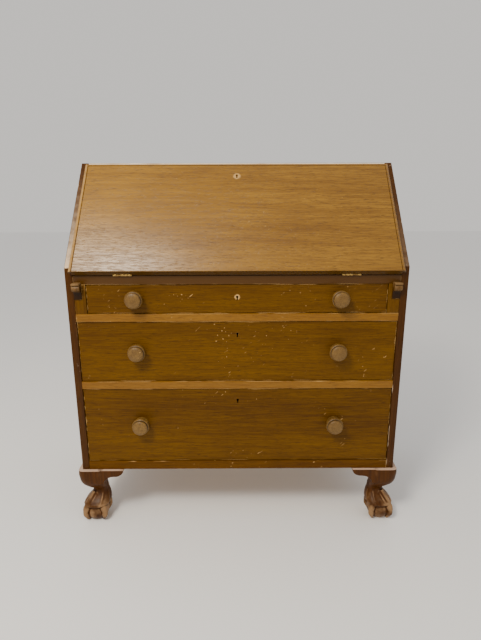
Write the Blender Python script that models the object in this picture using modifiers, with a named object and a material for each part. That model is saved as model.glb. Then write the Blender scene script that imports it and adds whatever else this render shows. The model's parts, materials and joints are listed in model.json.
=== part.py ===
"""Slant-front secretary desk (bureau) with a hinged fall, lopers, three long drawers and cabriole legs.

Frame: metres, +Z up, +X to the right of someone who faces the desk, +Y towards its back. The origin is
on the floor, at the middle of the overall box. Every board is one solid, and pieces that touch keep
GLUE_GAP between them. Moving pieces hang from empties that stand on their joints' axes.
"""

import math

import bmesh
import bpy

# ---------------------------------------------------------------------------
# Driving dimensions
# ---------------------------------------------------------------------------

GLUE_GAP = 0.0003  # between pieces that touch

# Case
WIDTH = 0.914  # over the two sides
DEPTH = 0.457  # front edges of the sides to the back
HEIGHT = 1.047  # floor to top
TOP_DEPTH = 0.2315  # flat top, from the slope to the back
LEG_HEIGHT = 0.174  # floor to case
SIDE_THICKNESS = 0.020
TOP_THICKNESS = 0.020
BACK_THICKNESS = 0.008
BOTTOM_THICKNESS = 0.012
DUST_THICKNESS = 0.009
BED_THICKNESS = 0.0255
RAIL_HEIGHT = 0.022
RAIL_DEPTH = 0.060
BOTTOM_RAIL_HEIGHT = 0.026
BOTTOM_RAIL_DEPTH = 0.022

# Drawers, bottom one first: heights of their openings
DRAWER_OPENINGS = (0.227, 0.1735, 0.081)
DRAWER_NAMES = ("bottom_drawer", "middle_drawer", "top_drawer")
KNOB_RISE = (0.0070, 0.0030, 0.0015)  # knob centres above the middle of each front
DRAWER_GAP = 0.0012  # round each drawer front
DRAWER_SETBACK = 0.003  # fronts lie behind the rails
FRONT_THICKNESS = 0.020
DRAWER_SIDE = 0.010
DRAWER_BOTTOM = 0.006
DRAWER_BOTTOM_RISE = 0.008
DRAWER_SIDE_DROP = 0.006  # drawer sides stop this far below the front's top
DRAWER_BACK_SPACE = 0.012  # between drawer and back panel
DRAWER_TRAVEL = 0.300
KNOB_SPACING = 0.550
KEYHOLE_DROP = 0.0345  # keyhole below a drawer opening's top

# Knobs
KNOB_RADIUS = 0.0245
KNOB_NECK = 0.0135
KNOB_FOOT = 0.0195
KNOB_PROJECTION = 0.040
KNOB_DOWEL = 0.006
KNOB_DOWEL_LENGTH = 0.014
KNOB_STEPS = 18
# Stations of the knob's head from its face inwards: shares of its radius and of its projection
KNOB_HEAD = ((0.50, 0.985), (0.84, 0.93), (1.00, 0.80), (0.90, 0.58))
KNOB_NECK_SPAN = (0.36, 0.20)  # ends of the neck, as shares of the projection
KNOB_FOOT_RISE = 0.08

# Lopers
LOPER_WIDTH = 0.0205
LOPER_HEIGHT = 0.045
LOPER_LENGTH = 0.360
LOPER_TRAVEL = 0.260
LOPER_SIDE_PLAY = 0.0005
LOPER_TOP_PLAY = 0.0005  # below the open fall
LOPER_FRONT_PROJECTION = 0.020
LOPER_LEDGE = 0.0050  # height of the ledge at the top of its carved front
LOPER_ROUND = 0.0085  # radius of the round under the ledge
LOPER_ROUND_REACH = 0.0195  # how far the round stands forward
LOPER_CAVETTO_REACH = (0.0132, 0.0028)  # how far the hollow under the round stands forward at its ends
LOPER_FILLET = 0.0045  # straight part below the hollow
STILE_WIDTH = 0.010

# Fall
FALL_REBATE = 0.0095  # thickness that lies between the sides
FALL_LIP = 0.0105  # thickness that stands proud of the slope
LIP_SIDE_REVEAL = 0.013  # width of side edge that the lip leaves bare
LIP_TOP_REVEAL = 0.008
FALL_SIDE_PLAY = 0.0015
FALL_TOP_PLAY = 0.0018
LIP_MOULDING = 0.006
FALL_KEYHOLE_DROP = 0.028  # keyhole below the end of the rebated part

# Hinges
HINGE_SETBACK = 0.0035  # axis in front of the case front
HINGE_LENGTH = 0.050
HINGE_LEAF = 0.022
HINGE_PLATE = 0.0015
HINGE_BARREL = 0.0030
HINGE_PIN = 0.0012
HINGE_PLAY = 0.0004
HINGE_SPACING = 0.606
KNUCKLES = 5

# Locks
LOCK_WIDTH = 0.050
LOCK_HEIGHT = 0.042
LOCK_DEPTH = 0.009
BOLT_WIDTH = 0.014
BOLT_THICKNESS = 0.0032
BOLT_LENGTH = 0.022
BOLT_REST = 0.0007  # drawn bolt below the lock's edge
DRAWER_BOLT_THROW = 0.0042
FALL_BOLT_THROW = 0.012
BOLT_PLAY = 0.0006
KEYHOLE_RADIUS = 0.0035
KEYHOLE_SLOT_WIDTH = 0.0036
KEYHOLE_LENGTH = 0.013

# Legs
KNEE_PROUD = 0.0135  # knee beyond the case side
BACK_LEG_INSET = KNEE_PROUD + GLUE_GAP  # keeps the back knees behind the back
LEG_POST = 0.060  # square block of the leg under the case corner
FOOT_CENTRE = 0.0265  # ball centre, in from the case's side and front
BALL_RADIUS = 0.034
BALL_HEIGHT = 0.028
EAR_LENGTH = 0.060
EAR_HEIGHT = 0.046
EAR_CUSP = 0.034  # from the leg to the cusp between hollow and lobe
EAR_LOBE = 0.0205  # depth of the lobe under the case
EAR_DEPTH = 0.034
EAR_PROUD = 0.009

# Stationery fitment
FITMENT_DEPTH = 0.2035
FITMENT_BOARD = 0.008
SHELF_HEIGHT = 0.0886  # underside, above the writing bed
BAY_WIDTH = 0.292
SMALL_DRAWER_TRAVEL = 0.130
SMALL_DRAWER_WALL = 0.007
SMALL_DRAWER_FRONT = 0.012
SMALL_DRAWER_PLAY = 0.0008
SMALL_KNOB_RADIUS = 0.008
SMALL_KNOB_PROJECTION = 0.015
# Stations of the small knob from its face inwards: shares of its radius and of its projection
SMALL_KNOB_HEAD = ((0.60, 0.96), (1.00, 0.75), (0.75, 0.45), (0.50, 0.25))
SMALL_KNOB_FOOT = 0.0056

# ---------------------------------------------------------------------------
# Places worked out from them
# ---------------------------------------------------------------------------

KNOB_FRONT = DRAWER_SETBACK - KNOB_PROJECTION  # ahead of the case front, so negative
CASE_FRONT = -(DEPTH + KNOB_FRONT) / 2  # world Y of the case front, the box's middle being zero
CASE_BACK = CASE_FRONT + DEPTH
HALF_WIDTH = WIDTH / 2
INNER = HALF_WIDTH - SIDE_THICKNESS  # inner faces of the sides
FIT = INNER - GLUE_GAP  # half length of what stands between the sides
BACK_FACE = CASE_BACK - BACK_THICKNESS - GLUE_GAP  # where boards stop before the back panel

BOTTOM_RAIL_TOP = LEG_HEIGHT + BOTTOM_RAIL_HEIGHT
MIDDLE_RAIL_BASE = BOTTOM_RAIL_TOP + DRAWER_OPENINGS[0]
UPPER_RAIL_BASE = MIDDLE_RAIL_BASE + RAIL_HEIGHT + DRAWER_OPENINGS[1]
OPENING_BASES = (
    BOTTOM_RAIL_TOP,
    MIDDLE_RAIL_BASE + RAIL_HEIGHT,
    UPPER_RAIL_BASE + RAIL_HEIGHT,
)
BED_UNDERSIDE = OPENING_BASES[2] + DRAWER_OPENINGS[2]
BED_TOP = BED_UNDERSIDE + BED_THICKNESS

# The slope runs from the top board's edge, at one rebate's distance from the hinge axis
FALL_THICKNESS = FALL_REBATE + FALL_LIP
SLOPE_RUN = DEPTH - TOP_DEPTH + HINGE_SETBACK
SLOPE_RISE = HEIGHT - BED_TOP
AXIS_TO_TOP = math.hypot(SLOPE_RUN, SLOPE_RISE)
SLOPE = math.atan2(SLOPE_RISE, SLOPE_RUN) - math.asin(FALL_REBATE / AXIS_TO_TOP)
FALL_SWING = math.pi - SLOPE
SLOPE_FOOT = HEIGHT - (DEPTH - TOP_DEPTH) * math.tan(SLOPE)
SLOPE_LENGTH = math.sqrt(AXIS_TO_TOP**2 - FALL_REBATE**2)  # hinge axis to slope's end, along the fall
TOP_ARRIS = SLOPE_LENGTH - TOP_THICKNESS / math.sin(SLOPE)
FALL_INNER_LENGTH = TOP_ARRIS - FALL_TOP_PLAY
FALL_LIP_LENGTH = SLOPE_LENGTH - LIP_TOP_REVEAL
HINGE_Y = CASE_FRONT - HINGE_SETBACK

# Loper slots: their top is as high as the open fall's underside
LOPER_TOP = BED_TOP - FALL_THICKNESS - LOPER_TOP_PLAY
LOPER_BASE = LOPER_TOP - LOPER_HEIGHT
LOPER_SLOT_TOP = LOPER_TOP + LOPER_TOP_PLAY
LOPER_X = INNER - LOPER_SIDE_PLAY - LOPER_WIDTH / 2
SLOT_INNER = INNER - LOPER_WIDTH - 2 * LOPER_SIDE_PLAY
TOP_DRAWER_HALF = SLOT_INNER - STILE_WIDTH

# A bolt runs in the middle of its lock, whose back is flush with the wood
BOLT_LOW = (LOCK_DEPTH - BOLT_THICKNESS) / 2
DRAWER_BOLT_FRONT = CASE_FRONT + DRAWER_SETBACK + FRONT_THICKNESS - BOLT_LOW - BOLT_THICKNESS

FITMENT_FRONT = BACK_FACE - FITMENT_DEPTH
FITMENT_BASE = BED_TOP + GLUE_GAP
FITMENT_TOP = HEIGHT - TOP_THICKNESS - GLUE_GAP
SHELF_BASE = BED_TOP + SHELF_HEIGHT
DIVIDER_X = (BAY_WIDTH + FITMENT_BOARD) / 2
HALVING_Y = (FITMENT_FRONT + BACK_FACE) / 2

# Rotations that lay a flat outline, drawn in its own XY plane, into the desk
SIDE_VIEW = (math.pi / 2, 0, math.pi / 2)  # drawn as (Y, Z), thickness along X
FRONT_VIEW = (math.pi / 2, 0, 0)  # drawn as (X, Z), thickness along Y
ACROSS = (0, math.pi / 2, 0)  # a cylinder's own axis along X
FORWARDS = (math.pi / 2, 0, 0)  # a turned piece's own axis towards the front

OAK = ("oak", (0.30, 0.15, 0.035), 0.45, 0.0)
FALL_OAK = ("fall_oak", (0.40, 0.22, 0.07), 0.38, 0.0)
DRAWER_OAK = ("drawer_oak", (0.20, 0.09, 0.012), 0.42, 0.0)
RAIL_OAK = ("rail_oak", (0.28, 0.12, 0.02), 0.42, 0.0)
LEG_OAK = ("leg_oak", (0.12, 0.035, 0.012), 0.40, 0.0)
KNOB_WOOD = ("knob_wood", (0.42, 0.24, 0.11), 0.50, 0.0)
DRAWER_PINE = ("drawer_pine", (0.50, 0.34, 0.18), 0.65, 0.0)
BRASS = ("brass", (0.55, 0.38, 0.14), 0.35, 1.0)
STEEL = ("steel", (0.35, 0.34, 0.32), 0.40, 1.0)


# ---------------------------------------------------------------------------
# Modelling helpers
# ---------------------------------------------------------------------------


def clear_scene():
    for old in list(bpy.data.objects):
        bpy.data.objects.remove(old)


def new_collection(name):
    made = bpy.data.collections.new(name)
    bpy.context.scene.collection.children.link(made)
    return made


def material_for(piece_name, finish):
    """A Principled BSDF material of the piece's own, in one of the finishes above."""
    label, colour, roughness, metallic = finish
    made = bpy.data.materials.new(f"{piece_name}_{label}")
    made.use_nodes = True
    shader = made.node_tree.nodes["Principled BSDF"]
    shader.inputs["Base Color"].default_value = (*colour, 1.0)
    shader.inputs["Roughness"].default_value = roughness
    shader.inputs["Metallic"].default_value = metallic
    made.diffuse_color = (*colour, 1.0)
    return made


def place(name, data, centre, finish, parent=None, turn=(0, 0, 0)):
    """Puts a mesh in the scene: a part if it has a finish, and a cutter or a shape to join if not."""
    made = bpy.data.objects.new(name, data)
    made.location = centre
    made.rotation_euler = turn
    made.parent = parent
    if finish is None:
        CUTTERS.objects.link(made)
        made.hide_render = True
        made.display_type = "WIRE"
    else:
        PARTS.objects.link(made)
        data.materials.append(material_for(name, finish))
    return made


def joint_empty(name, location, turn=(0, 0, 0), parent=None, travel=None):
    """An empty on a joint's axis; travel is the joint's stroke in metres or radians."""
    made = bpy.data.objects.new(name, None)
    made.location = location
    made.rotation_euler = turn
    made.parent = parent
    made.empty_display_size = 0.05
    if travel is not None:
        made["travel"] = travel
    PARTS.objects.link(made)
    return made


def box(name, low, high, finish=None, parent=None):
    """A board from its lowest to its highest corner."""
    size = [b - a for a, b in zip(low, high)]
    centre = [(a + b) / 2 for a, b in zip(low, high)]
    shape = bmesh.new()
    bmesh.ops.create_cube(shape, size=1.0)
    bmesh.ops.scale(shape, vec=size, verts=shape.verts)
    data = bpy.data.meshes.new(name)
    shape.to_mesh(data)
    shape.free()
    return place(name, data, centre, finish, parent)


def cylinder(name, radius, length, centre, finish=None, parent=None, turn=(0, 0, 0), sides=16):
    shape = bmesh.new()
    bmesh.ops.create_cone(
        shape, cap_ends=True, segments=sides, radius1=radius, radius2=radius, depth=length
    )
    data = bpy.data.meshes.new(name)
    shape.to_mesh(data)
    shape.free()
    data.shade_smooth()
    data.set_sharp_from_angle(angle=math.radians(40))
    return place(name, data, centre, finish, parent, turn)


def curve_to_mesh(curve_object):
    """Makes a mesh of a curve object, with its loose caps welded, and removes the curve."""
    bpy.context.scene.collection.objects.link(curve_object)
    bpy.context.view_layer.update()
    graph = bpy.context.evaluated_depsgraph_get()
    data = bpy.data.meshes.new_from_object(curve_object.evaluated_get(graph))
    bpy.data.objects.remove(curve_object)
    shape = bmesh.new()
    shape.from_mesh(data)
    bmesh.ops.remove_doubles(shape, verts=shape.verts, dist=1e-6)
    bmesh.ops.recalc_face_normals(shape, faces=shape.faces)
    shape.to_mesh(data)
    shape.free()
    return data


def outline(name, points, thickness, centre, turn, finish=None, parent=None):
    """A flat outline with square edges: points in the plane, thickness across it."""
    curve = bpy.data.curves.new(name, "CURVE")
    curve.dimensions = "2D"
    curve.fill_mode = "BOTH"
    curve.extrude = thickness / 2
    spline = curve.splines.new("POLY")
    spline.points.add(len(points) - 1)
    for spot, (across, up) in zip(spline.points, points):
        spot.co = (across, up, 0, 1)
    spline.use_cyclic_u = True
    data = curve_to_mesh(bpy.data.objects.new(name, curve))
    return place(name, data, centre, finish, parent, turn)


def tapered_tube(name, points, radii, centre, parent=None):
    """A tube along points, with a radius at each, as a shape to join."""
    curve = bpy.data.curves.new(name, "CURVE")
    curve.dimensions = "3D"
    curve.bevel_depth = 1.0
    curve.bevel_resolution = 1
    curve.use_fill_caps = True
    spline = curve.splines.new("POLY")
    spline.points.add(len(points) - 1)
    for spot, point, radius in zip(spline.points, points, radii):
        spot.co = (*point, 1)
        spot.radius = radius
    return place(name, curve_to_mesh(bpy.data.objects.new(name, curve)), centre, None, parent)


def turned(name, profile, steps, centre, finish, parent=None, turn=(0, 0, 0)):
    """A turned piece: a profile of (radius, height) from its top to its foot, turned about Z."""
    shape = bmesh.new()
    spots = [shape.verts.new((radius, 0, height)) for radius, height in profile]
    for upper, lower in zip(spots, spots[1:]):
        shape.edges.new((upper, lower))
    data = bpy.data.meshes.new(name)
    shape.to_mesh(data)
    shape.free()
    made = place(name, data, centre, finish, parent, turn)
    screw = made.modifiers.new("turning", "SCREW")
    screw.steps = steps
    screw.render_steps = steps
    screw.use_merge_vertices = True
    screw.merge_threshold = 0.0001
    screw.use_smooth_shade = True
    return made


def arc(centre, radii, start, end, steps):
    """Points on an ellipse's arc, angles in degrees, both ends included."""
    turns = [math.radians(start + (end - start) * step / steps) for step in range(steps + 1)]
    return [
        (centre[0] + radii[0] * math.cos(turn), centre[1] + radii[1] * math.sin(turn))
        for turn in turns
    ]


def combine(piece, other, operation):
    change = piece.modifiers.new(other.name, "BOOLEAN")
    change.operation = operation
    change.solver = "EXACT"
    change.object = other


def cut(piece, *cutters):
    for cutter in cutters:
        combine(piece, cutter, "DIFFERENCE")


def join(piece, *others):
    for other in others:
        combine(piece, other, "UNION")


# ---------------------------------------------------------------------------
# Case
# ---------------------------------------------------------------------------


def build_sides():
    """Two sides: upright front edge, slope, flat top."""
    profile = [
        (CASE_FRONT, LEG_HEIGHT),
        (CASE_BACK, LEG_HEIGHT),
        (CASE_BACK, HEIGHT),
        (CASE_BACK - TOP_DEPTH, HEIGHT),
        (CASE_FRONT, SLOPE_FOOT),
    ]
    middle = HALF_WIDTH - SIDE_THICKNESS / 2
    outline("side_left", profile, SIDE_THICKNESS, (-middle, 0, 0), SIDE_VIEW, OAK)
    outline("side_right", profile, SIDE_THICKNESS, (middle, 0, 0), SIDE_VIEW, OAK)


def build_top_board():
    """Top board between the sides: front edge cut to the slope, and a mortise for the fall's bolt."""
    edge = CASE_BACK - TOP_DEPTH
    undercut = TOP_THICKNESS / math.tan(SLOPE)
    profile = [
        (edge - undercut, HEIGHT - TOP_THICKNESS),
        (CASE_BACK, HEIGHT - TOP_THICKNESS),
        (CASE_BACK, HEIGHT),
        (edge, HEIGHT),
    ]
    top = outline("top_board", profile, 2 * FIT, (0, 0, 0), SIDE_VIEW, OAK)
    hinge = joint_empty("fall_closed_frame", (0, HINGE_Y, BED_TOP), (SLOPE, 0, 0))
    reach = FALL_INNER_LENGTH - BOLT_REST + FALL_BOLT_THROW + BOLT_PLAY
    mortise = box(
        "top_mortise",
        (-BOLT_WIDTH / 2 - BOLT_PLAY, FALL_INNER_LENGTH, BOLT_LOW - BOLT_PLAY),
        (BOLT_WIDTH / 2 + BOLT_PLAY, reach, BOLT_LOW + BOLT_THICKNESS + BOLT_PLAY),
        parent=hinge,
    )
    cut(top, mortise)


def build_back_and_bottom():
    box(
        "back_panel",
        (-FIT, CASE_BACK - BACK_THICKNESS, LEG_HEIGHT),
        (FIT, CASE_BACK, HEIGHT - TOP_THICKNESS - GLUE_GAP),
        OAK,
    )
    rail_back = CASE_FRONT + BOTTOM_RAIL_DEPTH
    box(
        "bottom_board",
        (-FIT, rail_back + GLUE_GAP, BOTTOM_RAIL_TOP - BOTTOM_THICKNESS),
        (FIT, BACK_FACE, BOTTOM_RAIL_TOP),
        OAK,
    )
    box("rail_bottom", (-FIT, CASE_FRONT, LEG_HEIGHT), (FIT, rail_back, BOTTOM_RAIL_TOP), RAIL_OAK)


def bolt_mortise(name, base):
    """Cutter for a drawer bolt's mortise in the underside of the piece above the drawer."""
    reach = DRAWER_BOLT_THROW + BOLT_PLAY
    return box(
        name,
        (-BOLT_WIDTH / 2 - BOLT_PLAY, DRAWER_BOLT_FRONT - BOLT_PLAY, base - reach),
        (
            BOLT_WIDTH / 2 + BOLT_PLAY,
            DRAWER_BOLT_FRONT + BOLT_THICKNESS + BOLT_PLAY,
            base + reach,
        ),
    )


def build_rails_and_dust_boards():
    for label, base in (("middle", MIDDLE_RAIL_BASE), ("upper", UPPER_RAIL_BASE)):
        rail = box(
            f"rail_{label}",
            (-FIT, CASE_FRONT, base),
            (FIT, CASE_FRONT + RAIL_DEPTH, base + RAIL_HEIGHT),
            RAIL_OAK,
        )
        cut(rail, bolt_mortise(f"rail_{label}_mortise", base))
        box(
            f"dust_board_{label}",
            (-FIT, CASE_FRONT + RAIL_DEPTH + GLUE_GAP, base + RAIL_HEIGHT - DUST_THICKNESS),
            (FIT, BACK_FACE, base + RAIL_HEIGHT),
            DRAWER_PINE,
        )


def build_writing_bed():
    """Writing bed: rebated over the loper slots, recessed for the hinge leaves, mortised for a bolt."""
    bed = box("writing_bed", (-FIT, CASE_FRONT, BED_UNDERSIDE), (FIT, BACK_FACE, BED_TOP), OAK)
    cut(bed, bolt_mortise("bed_mortise", BED_UNDERSIDE))
    for side, label in ((-1, "left"), (1, "right")):
        ends = sorted((side * SLOT_INNER, side * HALF_WIDTH))
        rebate = box(
            f"bed_rebate_{label}",
            (ends[0], CASE_FRONT - BED_THICKNESS, BED_UNDERSIDE - BED_THICKNESS),
            (ends[1], CASE_BACK, LOPER_SLOT_TOP),
        )
        middle = side * HINGE_SPACING / 2
        half = HINGE_LENGTH / 2 + GLUE_GAP
        recess = box(
            f"bed_hinge_recess_{label}",
            (middle - half, CASE_FRONT - BED_THICKNESS, BED_TOP - HINGE_PLATE - GLUE_GAP),
            (middle + half, HINGE_Y + HINGE_LEAF + GLUE_GAP, BED_TOP + BED_THICKNESS),
        )
        cut(bed, rebate, recess)


def build_loper_housings():
    """On each side, the stile beside the top drawer, its partition and the bearer under the loper."""
    base = OPENING_BASES[2] + GLUE_GAP
    bearer = LOPER_BASE - GLUE_GAP
    for side, label in ((-1, "left"), (1, "right")):
        profile = [
            (side * TOP_DRAWER_HALF, base),
            (side * FIT, base),
            (side * FIT, bearer),
            (side * SLOT_INNER, bearer),
            (side * SLOT_INNER, BED_UNDERSIDE - GLUE_GAP),
            (side * TOP_DRAWER_HALF, BED_UNDERSIDE - GLUE_GAP),
        ]
        length = BACK_FACE - CASE_FRONT
        middle = (0, CASE_FRONT + length / 2, 0)
        outline(f"loper_housing_{label}", profile, length, middle, FRONT_VIEW, RAIL_OAK)


# ---------------------------------------------------------------------------
# Stationery fitment behind the fall
# ---------------------------------------------------------------------------


def build_fitment():
    shelf = box(
        "fitment_shelf",
        (-FIT, FITMENT_FRONT, SHELF_BASE),
        (FIT, BACK_FACE, SHELF_BASE + FITMENT_BOARD),
        OAK,
    )
    half = FITMENT_BOARD / 2
    for side, label in ((-1, "left"), (1, "right")):
        middle = side * DIVIDER_X
        divider = box(
            f"fitment_divider_{label}",
            (middle - half, FITMENT_FRONT, FITMENT_BASE),
            (middle + half, BACK_FACE, FITMENT_TOP),
            OAK,
        )
        divider_slot = box(
            f"divider_slot_{label}",
            (middle - 2 * half, FITMENT_FRONT - half, SHELF_BASE - GLUE_GAP),
            (middle + 2 * half, HALVING_Y, SHELF_BASE + FITMENT_BOARD + GLUE_GAP),
        )
        shelf_slot = box(
            f"shelf_slot_{label}",
            (middle - half - GLUE_GAP, HALVING_Y - GLUE_GAP, SHELF_BASE - half),
            (middle + half + GLUE_GAP, CASE_BACK, SHELF_BASE + FITMENT_BOARD + half),
        )
        cut(divider, divider_slot)
        cut(shelf, shelf_slot)


def build_small_drawer():
    """Small drawer in the fitment's middle bay, a box open on top, with its knob."""
    spot = (0, FITMENT_FRONT, FITMENT_BASE)
    slide = joint_empty("small_drawer_slide", spot, travel=SMALL_DRAWER_TRAVEL)
    half = BAY_WIDTH / 2 - SMALL_DRAWER_PLAY
    low = SMALL_DRAWER_PLAY
    high = SHELF_BASE - FITMENT_BASE - SMALL_DRAWER_PLAY
    depth = FITMENT_DEPTH - SMALL_DRAWER_WALL
    drawer = box("small_drawer", (-half, 0, low), (half, depth, high), DRAWER_OAK, slide)
    wall = SMALL_DRAWER_WALL
    hollow = box(
        "small_drawer_hollow",
        (-half + wall, SMALL_DRAWER_FRONT, low + wall),
        (half - wall, depth - wall, high + wall),
        parent=slide,
    )
    cut(drawer, hollow)
    profile = [(0, SMALL_KNOB_PROJECTION)]
    profile += [
        (SMALL_KNOB_RADIUS * out, SMALL_KNOB_PROJECTION * rise) for out, rise in SMALL_KNOB_HEAD
    ]
    profile += [(SMALL_KNOB_FOOT, GLUE_GAP), (0, GLUE_GAP)]
    turned("small_drawer_knob", profile, 12, (0, 0, (low + high) / 2), BRASS, slide, FORWARDS)


# ---------------------------------------------------------------------------
# Locks
# ---------------------------------------------------------------------------


def keyhole_cutter(name, length, drop, frame):
    """A round hole with a slot below it, in a lock's frame, its hole at a drop below the locking edge."""
    hole = cylinder(name, KEYHOLE_RADIUS, length, (0, -drop, 0), parent=frame, sides=12)
    below = KEYHOLE_LENGTH - KEYHOLE_RADIUS
    slot = box(
        f"{name}_slot",
        (-KEYHOLE_SLOT_WIDTH / 2, -below, -length / 2),
        (KEYHOLE_SLOT_WIDTH / 2, 0, length / 2),
        parent=hole,
    )
    join(hole, slot)
    return hole


def build_lock(prefix, frame, keyhole_drop, throw_parent):
    """A till lock in a frame whose Y runs towards the locking edge and whose Z runs to the front.

    The lock's back lies in the plane Z = 0, and its edge at Y = 0.
    """
    half = LOCK_WIDTH / 2
    lock = box(f"{prefix}_lock", (-half, -LOCK_HEIGHT, 0), (half, 0, LOCK_DEPTH), STEEL, frame)
    way = box(
        f"{prefix}_bolt_way",
        (
            -BOLT_WIDTH / 2 - BOLT_PLAY,
            -BOLT_REST - BOLT_LENGTH - BOLT_PLAY,
            BOLT_LOW - BOLT_PLAY,
        ),
        (BOLT_WIDTH / 2 + BOLT_PLAY, LOCK_DEPTH, BOLT_LOW + BOLT_THICKNESS + BOLT_PLAY),
        parent=frame,
    )
    cut(lock, way)
    cut(lock, keyhole_cutter(f"{prefix}_lock_keyhole", 4 * LOCK_DEPTH, keyhole_drop, frame))
    box(
        f"{prefix}_bolt",
        (-BOLT_WIDTH / 2, -BOLT_REST - BOLT_LENGTH, BOLT_LOW),
        (BOLT_WIDTH / 2, -BOLT_REST, BOLT_LOW + BOLT_THICKNESS),
        STEEL,
        throw_parent,
    )


def lock_recess(name, frame):
    """Cutter for a lock's recess, open at the back and at the locking edge."""
    half = LOCK_WIDTH / 2 + GLUE_GAP
    return box(
        name,
        (-half, -LOCK_HEIGHT - GLUE_GAP, -LOCK_DEPTH),
        (half, LOCK_DEPTH, LOCK_DEPTH + GLUE_GAP),
        parent=frame,
    )


# ---------------------------------------------------------------------------
# Long drawers
# ---------------------------------------------------------------------------


def knob_profile():
    """Turned knob from its face to its dowel: a shallow dome, a rim, a cove to the neck, a foot."""
    reach = KNOB_PROJECTION
    profile = [(0, reach)]
    profile += [(KNOB_RADIUS * out, reach * rise) for out, rise in KNOB_HEAD]
    profile += [(KNOB_NECK, reach * rise) for rise in KNOB_NECK_SPAN]
    profile += [(KNOB_FOOT, reach * KNOB_FOOT_RISE), (KNOB_FOOT, GLUE_GAP)]
    profile += [(KNOB_DOWEL, GLUE_GAP), (KNOB_DOWEL, -KNOB_DOWEL_LENGTH), (0, -KNOB_DOWEL_LENGTH)]
    return profile


def build_drawer(name, base, opening, half_opening, knob_rise):
    """A long drawer: front, box of sides and back, bottom, two knobs, lock and bolt."""
    spot = (0, CASE_FRONT + DRAWER_SETBACK, base)
    slide = joint_empty(f"{name}_slide", spot, travel=DRAWER_TRAVEL)
    half = half_opening - DRAWER_GAP
    front_top = opening - DRAWER_GAP
    front = box(
        f"{name}_front", (-half, 0, DRAWER_GAP), (half, FRONT_THICKNESS, front_top), DRAWER_OAK, slide
    )
    sides_front = FRONT_THICKNESS + GLUE_GAP
    sides_back = BACK_FACE - DRAWER_BACK_SPACE - CASE_FRONT - DRAWER_SETBACK
    box_top = front_top - DRAWER_SIDE_DROP
    sides = box(
        f"{name}_box", (-half, sides_front, GLUE_GAP), (half, sides_back, box_top), DRAWER_PINE, slide
    )
    hollow = box(
        f"{name}_box_hollow",
        (-half + DRAWER_SIDE, sides_front - DRAWER_SIDE, -DRAWER_SIDE),
        (half - DRAWER_SIDE, sides_back - DRAWER_SIDE, box_top + DRAWER_SIDE),
        parent=slide,
    )
    cut(sides, hollow)
    inside = half - DRAWER_SIDE - GLUE_GAP
    bottom_back = sides_back - DRAWER_SIDE - GLUE_GAP
    box(
        f"{name}_bottom",
        (-inside, sides_front, DRAWER_BOTTOM_RISE),
        (inside, bottom_back, DRAWER_BOTTOM_RISE + DRAWER_BOTTOM),
        DRAWER_PINE,
        slide,
    )
    knob_height = opening / 2 + knob_rise
    for side, label in ((-1, "left"), (1, "right")):
        centre = (side * KNOB_SPACING / 2, 0, knob_height)
        turned(f"{name}_knob_{label}", knob_profile(), KNOB_STEPS, centre, KNOB_WOOD, slide, FORWARDS)
        depth = KNOB_DOWEL_LENGTH + GLUE_GAP
        bore = cylinder(
            f"{name}_knob_bore_{label}",
            KNOB_DOWEL + GLUE_GAP,
            2 * depth,
            centre,
            parent=slide,
            turn=FORWARDS,
        )
        cut(front, bore)
    lock_frame = joint_empty(f"{name}_lock_frame", (0, FRONT_THICKNESS, front_top), FORWARDS, slide)
    bolt_slide = joint_empty(
        f"{name}_bolt_slide", (0, 0, 0), parent=lock_frame, travel=DRAWER_BOLT_THROW
    )
    drop = KEYHOLE_DROP - DRAWER_GAP
    build_lock(name, lock_frame, drop, bolt_slide)
    keyhole = keyhole_cutter(f"{name}_keyhole", 4 * FRONT_THICKNESS, drop, lock_frame)
    cut(front, lock_recess(f"{name}_lock_recess", lock_frame), keyhole)


def build_drawers():
    widths = (INNER, INNER, TOP_DRAWER_HALF)
    rows = zip(DRAWER_NAMES, OPENING_BASES, DRAWER_OPENINGS, widths, KNOB_RISE)
    for name, base, opening, half_opening, knob_rise in rows:
        build_drawer(name, base, opening, half_opening, knob_rise)


# ---------------------------------------------------------------------------
# Lopers
# ---------------------------------------------------------------------------


def loper_profile():
    """Carved loper front from the side, as (forward, height) below its top: ledge, round, cavetto."""
    reach = LOPER_FRONT_PROJECTION
    hollow_top, hollow_foot = LOPER_CAVETTO_REACH
    round_centre = (hollow_top - LOPER_ROUND_REACH, -LOPER_LEDGE - LOPER_ROUND)
    round_foot = -LOPER_LEDGE - 2 * LOPER_ROUND
    drop = LOPER_HEIGHT - LOPER_FILLET + round_foot
    profile = [(-GLUE_GAP, 0), (-reach, 0), (-reach, -LOPER_LEDGE)]
    profile += arc((-hollow_top, round_centre[1]), (-round_centre[0], LOPER_ROUND), 90, 270, 6)
    profile += arc((-hollow_top, round_foot - drop), (hollow_top - hollow_foot, drop), 90, 0, 4)
    profile += [(-hollow_foot, -LOPER_HEIGHT), (-GLUE_GAP, -LOPER_HEIGHT)]
    return profile


def build_lopers():
    for side, label in ((-1, "left"), (1, "right")):
        spot = (side * LOPER_X, CASE_FRONT, LOPER_TOP)
        slide = joint_empty(f"loper_slide_{label}", spot, travel=LOPER_TRAVEL)
        half = LOPER_WIDTH / 2
        box(
            f"loper_bar_{label}",
            (-half, 0, -LOPER_HEIGHT),
            (half, LOPER_LENGTH, 0),
            OAK,
            slide,
        )
        outline(
            f"loper_front_{label}", loper_profile(), LOPER_WIDTH, (0, 0, 0), SIDE_VIEW, LEG_OAK, slide
        )


# ---------------------------------------------------------------------------
# Fall and its hinges
# ---------------------------------------------------------------------------


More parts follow.
